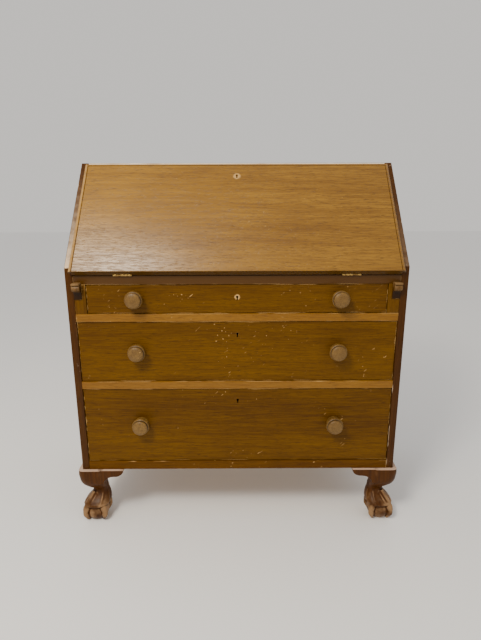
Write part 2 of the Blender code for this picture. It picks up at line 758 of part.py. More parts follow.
def build_fall():
    """Fall in its own frame: X across, Y up the slope from the hinge axis, Z outwards."""
    hinge = joint_empty("fall_hinge", (0, HINGE_Y, BED_TOP), (SLOPE, 0, 0), travel=FALL_SWING)
    lip_half = HALF_WIDTH - LIP_SIDE_REVEAL
    fall = box(
        "fall_panel",
        (-lip_half, 0, FALL_REBATE + GLUE_GAP),
        (lip_half, FALL_LIP_LENGTH, FALL_THICKNESS),
        FALL_OAK,
        hinge,
    )
    round_lip(fall)
    inner_half = INNER - FALL_SIDE_PLAY
    inner = box(
        "fall_inner",
        (-inner_half, 0, 0),
        (inner_half, FALL_INNER_LENGTH, FALL_REBATE + FALL_LIP / 2),
        parent=hinge,
    )
    join(fall, inner)
    lock_frame = joint_empty("fall_lock_frame", (0, FALL_INNER_LENGTH, 0), parent=hinge)
    bolt_slide = joint_empty(
        "fall_bolt_slide", (0, 0, 0), parent=lock_frame, travel=FALL_BOLT_THROW
    )
    build_lock("fall", lock_frame, FALL_KEYHOLE_DROP, bolt_slide)
    keyhole = keyhole_cutter("fall_keyhole", 4 * FALL_THICKNESS, FALL_KEYHOLE_DROP, lock_frame)
    cut(fall, lock_recess("fall_lock_recess", lock_frame), keyhole)
    for side, label in ((-1, "left"), (1, "right")):
        build_hinge(fall, hinge, side * HINGE_SPACING / 2, label)


def round_lip(fall):
    """Rounds the fall's outer edge over at its top and two ends."""
    shape = bmesh.new()
    shape.from_mesh(fall.data)
    top = max(spot.co.z for spot in shape.verts)
    bottom_edge = min(spot.co.y for spot in shape.verts)

    def moulded(edge):
        outer = all(abs(spot.co.z - top) < GLUE_GAP for spot in edge.verts)
        lowest = all(abs(spot.co.y - bottom_edge) < GLUE_GAP for spot in edge.verts)
        return outer and not lowest

    bmesh.ops.bevel(
        shape,
        geom=[edge for edge in shape.edges if moulded(edge)],
        offset=LIP_MOULDING,
        offset_type="OFFSET",
        affect="EDGES",
        segments=3,
        profile=0.5,
        material=-1,
    )
    shape.to_mesh(fall.data)
    shape.free()


def build_hinge(fall, hinge, middle, label):
    """A butt hinge: the bed leaf holds the pin and the odd knuckles, the fall leaf the even ones."""
    start = HINGE_BARREL + HINGE_PLAY
    half = HINGE_LENGTH / 2
    pitch = HINGE_LENGTH / KNUCKLES
    bed_frame = joint_empty(f"bed_leaf_frame_{label}", (middle, HINGE_Y, BED_TOP))
    fall_frame = joint_empty(f"fall_leaf_frame_{label}", (middle, 0, 0), parent=hinge)
    bed_leaf = box(
        f"bed_hinge_leaf_{label}",
        (-half, start, -HINGE_PLATE),
        (half, HINGE_LEAF, 0),
        BRASS,
        bed_frame,
    )
    fall_leaf = box(
        f"fall_hinge_leaf_{label}",
        (-half, start, 0),
        (half, HINGE_LEAF, HINGE_PLATE),
        BRASS,
        fall_frame,
    )
    knuckle_length = pitch - GLUE_GAP
    for count in range(KNUCKLES):
        on_bed = count % 2 == 0
        spot = -half + pitch * (count + 0.5)
        frame = bed_frame if on_bed else fall_frame
        name = f"hinge_{label}_knuckle_{count}"
        barrel = cylinder(
            name, HINGE_BARREL, knuckle_length, (spot, 0, 0), parent=frame, turn=ACROSS, sides=12
        )
        low, high = (-HINGE_PLATE, 0) if on_bed else (0, HINGE_PLATE)
        tongue = box(
            f"{name}_tongue",
            (spot - knuckle_length / 2, 0, low),
            (spot + knuckle_length / 2, start + HINGE_PLATE, high),
            parent=frame,
        )
        leaf = bed_leaf if on_bed else fall_leaf
        join(leaf, barrel, tongue)
    bore = cylinder(
        f"fall_leaf_bore_{label}",
        HINGE_PIN + GLUE_GAP,
        2 * HINGE_LENGTH,
        (0, 0, 0),
        parent=fall_frame,
        turn=ACROSS,
        sides=12,
    )
    cut(fall_leaf, bore)
    pin = cylinder(
        f"hinge_pin_{label}",
        HINGE_PIN,
        HINGE_LENGTH - pitch,
        (0, 0, 0),
        parent=bed_frame,
        turn=ACROSS,
        sides=12,
    )
    join(bed_leaf, pin)
    barrel_room = cylinder(
        f"fall_barrel_room_{label}",
        HINGE_BARREL + HINGE_PLAY,
        HINGE_LENGTH + 2 * HINGE_PLAY,
        (0, 0, 0),
        parent=fall_frame,
        turn=ACROSS,
    )
    leaf_room = box(
        f"fall_leaf_room_{label}",
        (-half - HINGE_PLAY, -HINGE_PLAY, -HINGE_PLATE),
        (half + HINGE_PLAY, HINGE_LEAF + GLUE_GAP, HINGE_PLATE + GLUE_GAP),
        parent=fall_frame,
    )
    cut(fall, barrel_room, leaf_room)


# ---------------------------------------------------------------------------
# Cabriole legs
# ---------------------------------------------------------------------------

# Sections of a leg as shares of its height: outer and inner face (in from the case's corner), squareness
LEG_SECTIONS = (
    (1.000, -0.0120, LEG_POST, 6.0),
    (0.935, -0.0132, LEG_POST, 5.0),
    (0.860, -KNEE_PROUD, LEG_POST, 3.6),
    (0.790, -0.0125, LEG_POST, 3.0),
    (0.720, -0.0085, LEG_POST, 2.7),
    (0.650, 0.0010, 0.0600, 2.5),
    (0.585, 0.0120, 0.0610, 2.3),
    (0.510, 0.0165, 0.0620, 2.2),
    (0.430, 0.0110, 0.0645, 2.2),
    (0.345, 0.0010, 0.0660, 2.2),
    (0.280, -0.0050, 0.0640, 2.4),
)
RING_SIDES = 12


def superellipse(centre, half, height, power):
    """A ring of points, square for a high power and round for a power of two."""
    ring = []
    for step in range(RING_SIDES):
        turn = 2 * math.pi * (step + 0.5) / RING_SIDES
        across, along = math.cos(turn), math.sin(turn)
        reach = (abs(across) ** power + abs(along) ** power) ** (-1 / power)
        ring.append((centre + half * reach * across, centre + half * reach * along, height))
    return ring


def leg_loft(name):
    """The leg from case to ankle, in a frame whose origin is under the case's corner."""
    shape = bmesh.new()
    rings = []
    for share, outer, inner, power in LEG_SECTIONS:
        height = LEG_HEIGHT * share
        if share == 1.0:
            height -= GLUE_GAP
        ring = superellipse((outer + inner) / 2, (inner - outer) / 2, height, power)
        rings.append([shape.verts.new(spot) for spot in ring])
    for upper, lower in zip(rings, rings[1:]):
        for spot in range(RING_SIDES):
            after = (spot + 1) % RING_SIDES
            shape.faces.new((upper[spot], lower[spot], lower[after], upper[after]))
    shape.faces.new(rings[0])
    shape.faces.new(reversed(rings[-1]))
    data = bpy.data.meshes.new(name)
    shape.to_mesh(data)
    shape.free()
    data.shade_smooth()
    data.set_sharp_from_angle(angle=math.radians(50))
    return data


def ball_mesh(name):
    """The ball, flat where it stands on the floor."""
    shape = bmesh.new()
    bmesh.ops.create_uvsphere(shape, u_segments=14, v_segments=9, radius=BALL_RADIUS)
    bmesh.ops.translate(shape, vec=(0, 0, BALL_HEIGHT), verts=shape.verts)
    geometry = shape.verts[:] + shape.edges[:] + shape.faces[:]
    cutting = bmesh.ops.bisect_plane(
        shape, geom=geometry, plane_co=(0, 0, 0), plane_no=(0, 0, -1), clear_outer=True
    )
    rim = [item for item in cutting["geom_cut"] if isinstance(item, bmesh.types.BMEdge)]
    bmesh.ops.edgeloop_fill(shape, edges=rim)
    bmesh.ops.recalc_face_normals(shape, faces=shape.faces)
    data = bpy.data.meshes.new(name)
    shape.to_mesh(data)
    shape.free()
    return data


# Stations of a claw down to its talon: reach from the foot's axis, height, radius
CLAW_STATIONS = (
    (0.0200, 0.0750, 0.0080),
    (0.0330, 0.0620, 0.0095),
    (0.0405, 0.0470, 0.0098),
    (0.0425, 0.0320, 0.0085),
    (0.0380, 0.0170, 0.0068),
    (0.0300, 0.0065, 0.0048),
)


def claw_points(angle):
    """A claw from the ankle over its knuckle and down the ball, in the upright plane at an angle."""
    return [
        (math.cos(angle) * reach, math.sin(angle) * reach, height)
        for reach, height, radius in CLAW_STATIONS
    ]


def build_leg(name, corner, mirror):
    """A cabriole leg at a corner of the case; mirror gives the inward directions along X and Y."""
    post = joint_empty(f"{name}_frame", corner)
    leg = place(name, mirrored(leg_loft(name), mirror), (0, 0, 0), LEG_OAK, post)
    foot = (mirror[0] * FOOT_CENTRE, mirror[1] * FOOT_CENTRE, 0)
    radii = [station[2] for station in CLAW_STATIONS]
    join(leg, place(f"{name}_ball", ball_mesh(f"{name}_ball"), foot, None, post))
    for count in range(4):
        angle = math.radians(45 + 90 * count)
        claw = tapered_tube(f"{name}_claw_{count}", claw_points(angle), radii, foot, post)
        join(leg, claw)
    return post


def mirrored(data, mirror):
    """Mirrors a mesh for another corner, its faces kept pointing out."""
    shape = bmesh.new()
    shape.from_mesh(data)
    bmesh.ops.scale(shape, vec=(mirror[0], mirror[1], 1), verts=shape.verts)
    if mirror[0] * mirror[1] < 0:
        bmesh.ops.reverse_faces(shape, faces=shape.faces)
    shape.to_mesh(data)
    shape.free()
    return data


def ear_profile():
    """An ear from the front, as (away from the leg, height) under the case: lobe, cusp and hollow."""
    start = LEG_POST + GLUE_GAP
    cusp = start + EAR_CUSP
    hollow = EAR_HEIGHT - EAR_LOBE
    profile = [(start, -GLUE_GAP)]
    profile += arc((cusp, -GLUE_GAP), (EAR_LENGTH - EAR_CUSP, EAR_LOBE), 0, -90, 5)
    profile += arc((cusp, -EAR_HEIGHT), (EAR_CUSP, hollow), 108, 180, 5)
    return profile


def build_ear(name, post, mirror, along_front):
    """An ear beside a leg's knee, under the front rail or under the side."""
    profile = ear_profile()
    middle = EAR_DEPTH / 2 - EAR_PROUD
    if along_front:
        points = [(mirror[0] * out, up) for out, up in profile]
        centre = (0, mirror[1] * middle, LEG_HEIGHT)
        outline(name, points, EAR_DEPTH, centre, FRONT_VIEW, LEG_OAK, post)
    else:
        points = [(mirror[1] * out, up) for out, up in profile]
        centre = (mirror[0] * middle, 0, LEG_HEIGHT)
        outline(name, points, EAR_DEPTH, centre, SIDE_VIEW, LEG_OAK, post)


def build_legs():
    for side, label in ((-1, "left"), (1, "right")):
        mirror = (-side, 1)
        post = build_leg(f"leg_front_{label}", (side * HALF_WIDTH, CASE_FRONT, 0), mirror)
        build_ear(f"ear_front_{label}", post, mirror, True)
        build_ear(f"ear_front_{label}_side", post, mirror, False)
        mirror = (-side, -1)
        corner = (side * HALF_WIDTH, CASE_BACK - BACK_LEG_INSET, 0)
        post = build_leg(f"leg_back_{label}", corner, mirror)
        build_ear(f"ear_back_{label}_side", post, mirror, False)


# ---------------------------------------------------------------------------

clear_scene()
PARTS = new_collection("secretary_desk")
CUTTERS = new_collection("secretary_desk_cutters")

build_sides()
build_top_board()
build_back_and_bottom()
build_rails_and_dust_boards()
build_writing_bed()
build_loper_housings()
build_fitment()
build_small_drawer()
build_drawers()
build_lopers()
build_fall()
build_legs()
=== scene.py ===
"""Slant-front secretary desk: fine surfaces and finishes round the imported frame.

Frame: metres, +Z up, +X to the right of someone who faces the desk, +Y towards its back. Each class
builds one sub-assembly and hangs its pieces on the bodies that move. Finishes are procedural.
"""

import json
import logging
import math
from dataclasses import dataclass
from enum import Enum
from itertools import pairwise
from typing import Callable, Iterable, Sequence

import bmesh
import bpy
from mathutils import Matrix, Vector

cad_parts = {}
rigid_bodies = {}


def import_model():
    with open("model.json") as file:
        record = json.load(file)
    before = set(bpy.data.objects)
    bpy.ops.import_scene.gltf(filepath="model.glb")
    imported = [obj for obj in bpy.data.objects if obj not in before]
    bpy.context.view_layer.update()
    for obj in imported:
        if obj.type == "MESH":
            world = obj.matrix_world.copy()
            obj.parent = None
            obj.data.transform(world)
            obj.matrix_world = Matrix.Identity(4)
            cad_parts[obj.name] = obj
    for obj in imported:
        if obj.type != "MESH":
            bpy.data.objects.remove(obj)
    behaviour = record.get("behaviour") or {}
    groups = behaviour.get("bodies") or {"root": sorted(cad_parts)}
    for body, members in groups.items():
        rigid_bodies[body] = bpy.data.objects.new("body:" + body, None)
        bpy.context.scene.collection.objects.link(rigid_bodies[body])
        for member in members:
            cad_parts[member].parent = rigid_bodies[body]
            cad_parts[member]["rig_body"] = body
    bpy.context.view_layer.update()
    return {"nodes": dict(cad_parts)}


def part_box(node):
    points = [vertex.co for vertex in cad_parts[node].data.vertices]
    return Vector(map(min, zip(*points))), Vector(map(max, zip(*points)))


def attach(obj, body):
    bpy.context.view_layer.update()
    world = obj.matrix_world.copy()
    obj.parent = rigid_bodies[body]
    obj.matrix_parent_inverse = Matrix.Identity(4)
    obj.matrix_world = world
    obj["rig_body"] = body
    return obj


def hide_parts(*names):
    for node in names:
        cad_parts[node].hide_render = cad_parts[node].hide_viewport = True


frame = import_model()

LOG = logging.getLogger("secretary_desk")

Point = tuple[float, float, float]
Colour = tuple[float, float, float]
Outline = list[tuple[float, float]]
Socket = bpy.types.NodeSocket

GLUE_GAP = 0.0003  # between pieces that touch
WELD = 0.00001
HINGE_AXIS_AHEAD = 0.0035  # hinge axis in front of the case
FALL_REBATE = 0.0095  # thickness of the fall between the sides
FALL_THICKNESS = 0.020


class Axis(Enum):
    """Which way a board's grain runs, as the turn that brings it to X."""

    ACROSS = (0.0, 0.0, 0.0)
    BACK = (0.0, 0.0, -math.pi / 2)
    UP = (0.0, math.pi / 2, 0.0)


class Slot(Enum):
    """The record's material slots."""

    CASE = "case_oak"
    RAIL = "rail_oak"
    FALL = "fall_oak"
    FRONT = "drawer_oak"
    PINE = "drawer_pine"
    KNOB = "knob_wood"
    CARVED = "carved_oak"
    BRASS = "brass"
    STEEL = "lock_steel"


def body_of(node: str) -> str:
    """The body that a CAD node moves with."""
    return frame["nodes"][node]["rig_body"]


# ---------------------------------------------------------------------------
# Finishes
# ---------------------------------------------------------------------------


class Graph:
    """A material's nodes, added one call at a time."""

    def __init__(self, name: str) -> None:
        """Starts a material with its shader and object coordinates."""
        self.material = bpy.data.materials.new(name)
        self.material.use_nodes = True
        self.tree = self.material.node_tree
        self.shader = self.tree.nodes["Principled BSDF"]
        self.coordinates = self.add("ShaderNodeTexCoord").outputs["Object"]

    def add(self, kind: str) -> bpy.types.Node:
        """Adds a node of one kind."""
        return self.tree.nodes.new(kind)

    def feed(self, socket: Socket, value: object) -> None:
        """Links a socket to another one, or sets it to a constant."""
        if isinstance(value, bpy.types.NodeSocket):
            self.tree.links.new(value, socket)
        elif isinstance(value, tuple) and socket.type == "RGBA":
            socket.default_value = (*value, 1.0)
        else:
            socket.default_value = value

    def mapped(self, vector: Socket, scale: Point = (1, 1, 1), turn: Point = (0, 0, 0)) -> Socket:
        """Coordinates stretched by a scale and then turned."""
        mapping = self.add("ShaderNodeMapping")
        self.feed(mapping.inputs["Vector"], vector)
        mapping.inputs["Scale"].default_value = scale
        mapping.inputs["Rotation"].default_value = turn
        return mapping.outputs["Vector"]

    def noise(self, vector: Socket, scale: float = 1.0, detail: float = 2.0, shift: object = 0.0) -> Socket:
        """A noise value from zero to one.

        Args:
            vector: coordinates, stretched along the grain where that matters.
            scale: features in a metre.
            detail: octaves.
            shift: a fourth coordinate, which differs from board to board.

        Returns:
            The noise's value.
        """
        made = self.add("ShaderNodeTexNoise")
        made.noise_dimensions = "4D"
        self.feed(made.inputs["Vector"], vector)
        self.feed(made.inputs["W"], shift)
        made.inputs["Scale"].default_value = scale
        made.inputs["Detail"].default_value = detail
        return made.outputs["Fac"]

    def ramp(self, value: Socket, low: float, high: float, start: float = 0.0, end: float = 1.0) -> Socket:
        """A value's range from low to high, brought smoothly to start and end."""
        made = self.add("ShaderNodeMapRange")
        made.interpolation_type = "SMOOTHSTEP"
        for name, number in (("From Min", low), ("From Max", high), ("To Min", start), ("To Max", end)):
            made.inputs[name].default_value = number
        self.feed(made.inputs["Value"], value)
        return made.outputs["Result"]

    def maths(self, operation: str, first: object, second: object = 0.0) -> Socket:
        """The result of a sum on two values."""
        made = self.add("ShaderNodeMath")
        made.operation = operation
        self.feed(made.inputs[0], first)
        self.feed(made.inputs[1], second)
        return made.outputs["Value"]

    def mix(self, share: object, first: object, second: object, blend: str = "MIX") -> Socket:
        """A blend of two colours."""
        made = self.add("ShaderNodeMix")
        made.data_type = "RGBA"
        made.blend_type = blend
        self.feed(made.inputs["Factor"], share)
        self.feed(made.inputs[6], first)
        self.feed(made.inputs[7], second)
        return made.outputs[2]

    def attribute(self, name: str) -> Socket:
        """A value stored on the mesh."""
        made = self.add("ShaderNodeAttribute")
        made.attribute_name = name
        return made.outputs["Fac"]

    def distance(self, vector: Socket, centre: Point) -> Socket:
        """How far a place is from a point."""
        made = self.add("ShaderNodeVectorMath")
        made.operation = "DISTANCE"
        self.feed(made.inputs[0], vector)
        made.inputs[1].default_value = centre
        return made.outputs["Value"]

    def bump(self, height: Socket, depth: float, strength: float) -> None:
        """Gives the shader a bump of a depth in metres."""
        made = self.add("ShaderNodeBump")
        made.inputs["Strength"].default_value = strength
        made.inputs["Distance"].default_value = depth
        self.feed(made.inputs["Height"], height)
        self.feed(self.shader.inputs["Normal"], made.outputs["Normal"])


@dataclass(frozen=True)
class Wood:
    """An oiled or varnished wood, with fibres, pores, stains, small scratches and worn arrises, the arrises partly
    painted highlights; marked faces take painted shade or painted highlights.

    Attributes:
        name: the material's name.
        pale: colour of the lightest fibres.
        deep: colour of the darkest ones.
        bare: colour where the finish is worn away, also used for painted highlights and sheen.
        grain: which way the fibres run.
        roughness: of the finish.
        gloss: how strongly it reflects.
        contrast: how strongly fibres and pores show.
        marks: how many scratches, from none to one.
        wear: how bare the arrises are, from none to one.
        bare_spots: places worn round keyholes, as centre, radius and strength.
    """

    name: str
    pale: Colour
    deep: Colour
    bare: Colour
    grain: Axis = Axis.ACROSS
    roughness: float = 0.40
    gloss: float = 0.25
    contrast: float = 1.0
    marks: float = 0.5
    wear: float = 0.5
    bare_spots: tuple[tuple[Point, float, float], ...] = ()

    def material(self) -> bpy.types.Material:
        """The finish's material, made once."""
        return bpy.data.materials.get(f"{self.name}_finish") or self.build()

    def build(self) -> bpy.types.Material:
        """Builds the nodes.

        Returns:
            The new material.
        """
        graph = Graph(f"{self.name}_finish")
        board = graph.attribute("board")
        grain = graph.mapped(graph.coordinates, turn=self.grain.value)
        waver = graph.noise(graph.mapped(grain, (1.5, 6, 6)), 1.0, 1.0, board)
        bent = graph.add("ShaderNodeVectorMath")
        bent.operation = "ADD"
        graph.feed(bent.inputs[0], grain)
        graph.feed(bent.inputs[1], graph.maths("MULTIPLY", waver, 0.012))
        fibres = bent.outputs["Vector"]
        broad = graph.noise(graph.mapped(fibres, (1.3, 9, 9)), 1.0, 2.0, board)
        bands = graph.noise(graph.mapped(fibres, (3.5, 85, 85)), 1.0, 3.0, board)
        streaks = graph.noise(graph.mapped(fibres, (16, 390, 390)), 1.0, 2.0, board)
        ticks = graph.noise(graph.mapped(fibres, (55, 900, 900)), 1.0, 1.0, board)
        spread = graph.maths("MULTIPLY", graph.ramp(broad, 0.30, 0.70), 0.32)
        spread = graph.maths("ADD", spread, graph.maths("MULTIPLY", graph.ramp(bands, 0.30, 0.70), 0.26))
        spread = graph.maths("ADD", spread, graph.maths("MULTIPLY", graph.ramp(streaks, 0.3, 0.7), 0.42))
        colour = graph.mix(spread, self.deep, self.pale)
        pores = graph.ramp(ticks, 0.56, 0.68)
        dark = tuple(0.45 * channel for channel in self.deep)
        colour = graph.mix(graph.maths("MULTIPLY", pores, 0.55 * self.contrast), colour, dark)
        stain = graph.ramp(graph.noise(grain, 5.0, 3.0, board), 0.35, 0.75, 0.0, 0.28)
        colour = graph.mix(stain, colour, self.deep)
        colour = self.worn(graph, colour, grain, board)
        # Painted shade: faces marked for it are darkened towards the dark pore colour.
        colour = graph.mix(graph.attribute("painted_shade"), colour, dark)
        graph.feed(graph.shader.inputs["Base Color"], colour)
        rough = graph.ramp(streaks, 0.3, 0.7, self.roughness + 0.07, self.roughness - 0.05)
        graph.feed(graph.shader.inputs["Roughness"], rough)
        graph.shader.inputs["Specular IOR Level"].default_value = self.gloss
        height = graph.maths("SUBTRACT", graph.maths("MULTIPLY", streaks, 0.6), pores)
        graph.bump(height, 0.00025, 0.35 * self.contrast)
        return graph.material

    def worn(self, graph: Graph, colour: Socket, grain: Socket, board: Socket) -> Socket:
        """Adds to a colour bare arrises (worn, and partly painted highlights), scratches, bare spots, and painted
        highlights and sheen on faces marked bare.

        Args:
            graph: the material's nodes.
            colour: what the wear shows on.
            grain: coordinates along the grain.
            board: the board's own shift.

        Returns:
            The worn colour.
        """
        patchy = graph.noise(graph.mapped(grain, (14, 60, 60)), 1.0, 3.0, board)
        low = 0.72 - 0.34 * self.wear
        # Arrises: worn bare, and partly painted highlights along the edges.
        arris = graph.maths("MULTIPLY", graph.attribute("arris"), graph.ramp(patchy, low, low + 0.12))
        rim = graph.maths("POWER", graph.attribute("rim"), 2.5)
        rim = graph.maths("MULTIPLY", rim, graph.ramp(patchy, low + 0.16, low + 0.22, 0, 0.6))
        share = graph.maths("MAXIMUM", arris, rim)
        # Faces marked bare take painted highlights and painted sheen in the bare colour.
        bare = graph.maths("MULTIPLY", graph.attribute("bare"), graph.ramp(patchy, 0.30, 0.55, 0.5, 1.0))
        share = graph.maths("MAXIMUM", share, bare)
        zone = graph.ramp(graph.noise(grain, 7.0, 2.0, board), 0.50, 0.62)
        for turn, stretch in ((0.5, 9.0), (-0.9, 7.0)):
            slanted = graph.mapped(graph.coordinates, turn=(turn, turn, turn))
            nicks = graph.noise(graph.mapped(slanted, (24, 24 * stretch, 24 * stretch)), 1.0, 1.0, board)
            nicks = graph.ramp(nicks, 0.745 - 0.05 * self.marks, 0.78, 0, min(1.0, self.marks))
            share = graph.maths("MAXIMUM", share, graph.maths("MULTIPLY", nicks, zone))
        for centre, radius, strength in self.bare_spots:
            ragged = graph.maths("MULTIPLY", graph.noise(graph.coordinates, 160.0, 2.0), 0.6 * radius)
            reach = graph.maths("ADD", graph.distance(graph.coordinates, centre), ragged)
            spot = graph.ramp(reach, radius, 1.5 * radius, strength, 0.0)
            share = graph.maths("MAXIMUM", share, spot)
        return graph.mix(share, colour, self.bare)


@dataclass(frozen=True)
class Carving:
    """A dark carved wood, paler where it stands proud and darker in its hollows: on the legs from wear and old finish,
    with some painted shade in the hollows; on the lopers as painted highlight and painted shade.

    Attributes:
        name: the material's name.
        ground: colour of the plain surface.
        hollow: colour in the hollows, partly painted shade.
        proud: colour of what stands proud, worn on the legs and a painted highlight on the lopers.
        bare: colour where the finish is rubbed off.
        roughness: of the finish.
        gloss: how strongly it reflects.
    """

    name: str
    ground: Colour
    hollow: Colour
    proud: Colour
    bare: Colour
    roughness: float = 0.38
    gloss: float = 0.15

    def material(self) -> bpy.types.Material:
        """The finish's material, made once."""
        return bpy.data.materials.get(f"{self.name}_finish") or self.build()

    def build(self) -> bpy.types.Material:
        """Builds the nodes.

        Returns:
            The new material.
        """
        graph = Graph(f"{self.name}_finish")
        grain = graph.mapped(graph.coordinates, turn=Axis.UP.value)
        fibres = graph.noise(graph.mapped(grain, (9, 170, 170)), 1.0, 3.0)
        blotches = graph.noise(graph.coordinates, 22.0, 3.0)
        colour = graph.mix(graph.ramp(fibres, 0.3, 0.75, 0.0, 0.55), self.ground, self.hollow)
        relief = graph.attribute("relief")
        # Hollows darker: old finish, and partly painted shade.
        colour = graph.mix(graph.ramp(relief, 0.48, 0.15, 0.0, 0.9), colour, self.hollow)
        # Proud spots paler: wear, and on the lopers a painted highlight.
        worn = graph.maths("MULTIPLY", graph.ramp(relief, 0.53, 0.75), graph.ramp(blotches, 0.35, 0.6))
        colour = graph.mix(graph.maths("MULTIPLY", worn, 0.75), colour, self.proud)
        bare = graph.maths("MULTIPLY", graph.attribute("bare"), graph.ramp(blotches, 0.25, 0.55, 0.6, 1.0))
        colour = graph.mix(bare, colour, self.bare)
        graph.feed(graph.shader.inputs["Base Color"], colour)
        rough = graph.ramp(blotches, 0.3, 0.7, self.roughness - 0.05, self.roughness + 0.14)
        graph.feed(graph.shader.inputs["Roughness"], rough)
        graph.shader.inputs["Specular IOR Level"].default_value = self.gloss
        graph.bump(graph.maths("ADD", fibres, blotches), 0.0006, 0.30)
        return graph.material


@dataclass(frozen=True)
class Metal:
    """A plain metal with tarnish and fine brushing.

    Attributes:
        name: the material's name.
        bright: colour where it is rubbed.
        dull: colour where it is tarnished.
        roughness: of the rubbed metal.
    """

    name: str
    bright: Colour
    dull: Colour
    roughness: float = 0.32

    def material(self) -> bpy.types.Material:
        """The finish's material, made once."""
        return bpy.data.materials.get(f"{self.name}_finish") or self.build()

    def build(self) -> bpy.types.Material:
        """Builds the nodes.

        Returns:
            The new material.
        """
        graph = Graph(f"{self.name}_finish")
        tarnish = graph.ramp(graph.noise(graph.coordinates, 90.0, 4.0), 0.38, 0.66)
        brushing = graph.noise(graph.mapped(graph.coordinates, (60, 900, 900)), 1.0, 1.0)
        graph.feed(graph.shader.inputs["Base Color"], graph.mix(tarnish, self.bright, self.dull))
        rough = graph.ramp(tarnish, 0.0, 1.0, self.roughness, self.roughness + 0.22)
        graph.feed(graph.shader.inputs["Roughness"], rough)
        graph.shader.inputs["Metallic"].default_value = 1.0
        graph.bump(brushing, 0.00006, 0.25)
        return graph.material


Finish = Wood | Carving | Metal

FORWARDS = (0.0, -1.0, 0.0)
OAK_BARE = (0.56, 0.34, 0.12)
PINE_BARE = (0.60, 0.40, 0.20)
# The sides' pale bare colour serves their worn arrises and the painted sheen on their sloped edges.
SIDE_OAK = Wood("side_oak", (0.086, 0.029, 0.001), (0.033, 0.010, 0.0005), (0.66, 0.50, 0.34), Axis.UP, 0.34, 0.14)
# The top's very pale bare colour serves its worn arrises and the painted highlight on its strip in front of the fall.
TOP_OAK = Wood("top_oak", (0.32, 0.150, 0.022), (0.18, 0.070, 0.008), (0.85, 0.74, 0.58), Axis.ACROSS, 0.36, 0.3)
BACK_OAK = Wood("back_oak", (0.12, 0.050, 0.012), (0.06, 0.022, 0.005), OAK_BARE, Axis.UP, 0.60, wear=0.2)
RAIL_OAK = Wood("rail_oak", (0.27, 0.123, 0.008), (0.140, 0.053, 0.002), OAK_BARE, wear=0.8)
LOW_RAIL_OAK = Wood("low_rail_oak", (0.128, 0.050, 0.001), (0.060, 0.020, 0.0005), OAK_BARE, gloss=0.1, marks=0.8)
INNER_OAK = Wood("inner_oak", (0.26, 0.115, 0.022), (0.15, 0.058, 0.008), OAK_BARE, Axis.ACROSS, 0.50, marks=0.2)
SHELF_OAK = Wood("fitment_oak", (0.26, 0.115, 0.022), (0.15, 0.058, 0.008), OAK_BARE, Axis.BACK, 0.50, marks=0.2)
BAR_OAK = Wood("loper_bar_oak", (0.20, 0.080, 0.012), (0.10, 0.035, 0.004), OAK_BARE, Axis.BACK, 0.46)
PINE = Wood("drawer_pine", (0.50, 0.31, 0.12), (0.36, 0.19, 0.06), PINE_BARE, Axis.BACK, 0.62, 0.2, 0.7, 0.2, 0.3)
DUST_PINE = Wood("dust_pine", (0.45, 0.27, 0.10), (0.32, 0.17, 0.05), PINE_BARE, Axis.ACROSS, 0.62, 0.2, 0.7, 0.2, 0.3)
KNOB_WOOD = Wood("knob_wood", (0.235, 0.130, 0.026), (0.075, 0.034, 0.005), OAK_BARE, Axis.BACK, 0.42, 0.35, 1.0, 0.9, 0.8)
STILE_OAK = Wood("stile_oak", (0.142, 0.061, 0.0008), (0.062, 0.023, 0.0003), OAK_BARE, Axis.UP, 0.42, 0.12)
LEG_BARE = (0.58, 0.40, 0.29)
LOPER_OAK = Carving("loper_oak", (0.085, 0.036, 0.004), (0.014, 0.005, 0.001), (0.26, 0.155, 0.065), LEG_BARE)
CARVED_OAK = Carving("carved_oak", (0.072, 0.022, 0.001), (0.016, 0.004, 0.001), (0.34, 0.20, 0.095), LEG_BARE)
BRASS = Metal("brass", (0.56, 0.36, 0.11), (0.20, 0.11, 0.035))
STEEL = Metal("lock_steel", (0.36, 0.34, 0.31), (0.16, 0.13, 0.11), 0.42)


# ---------------------------------------------------------------------------
# Mesh work
# ---------------------------------------------------------------------------


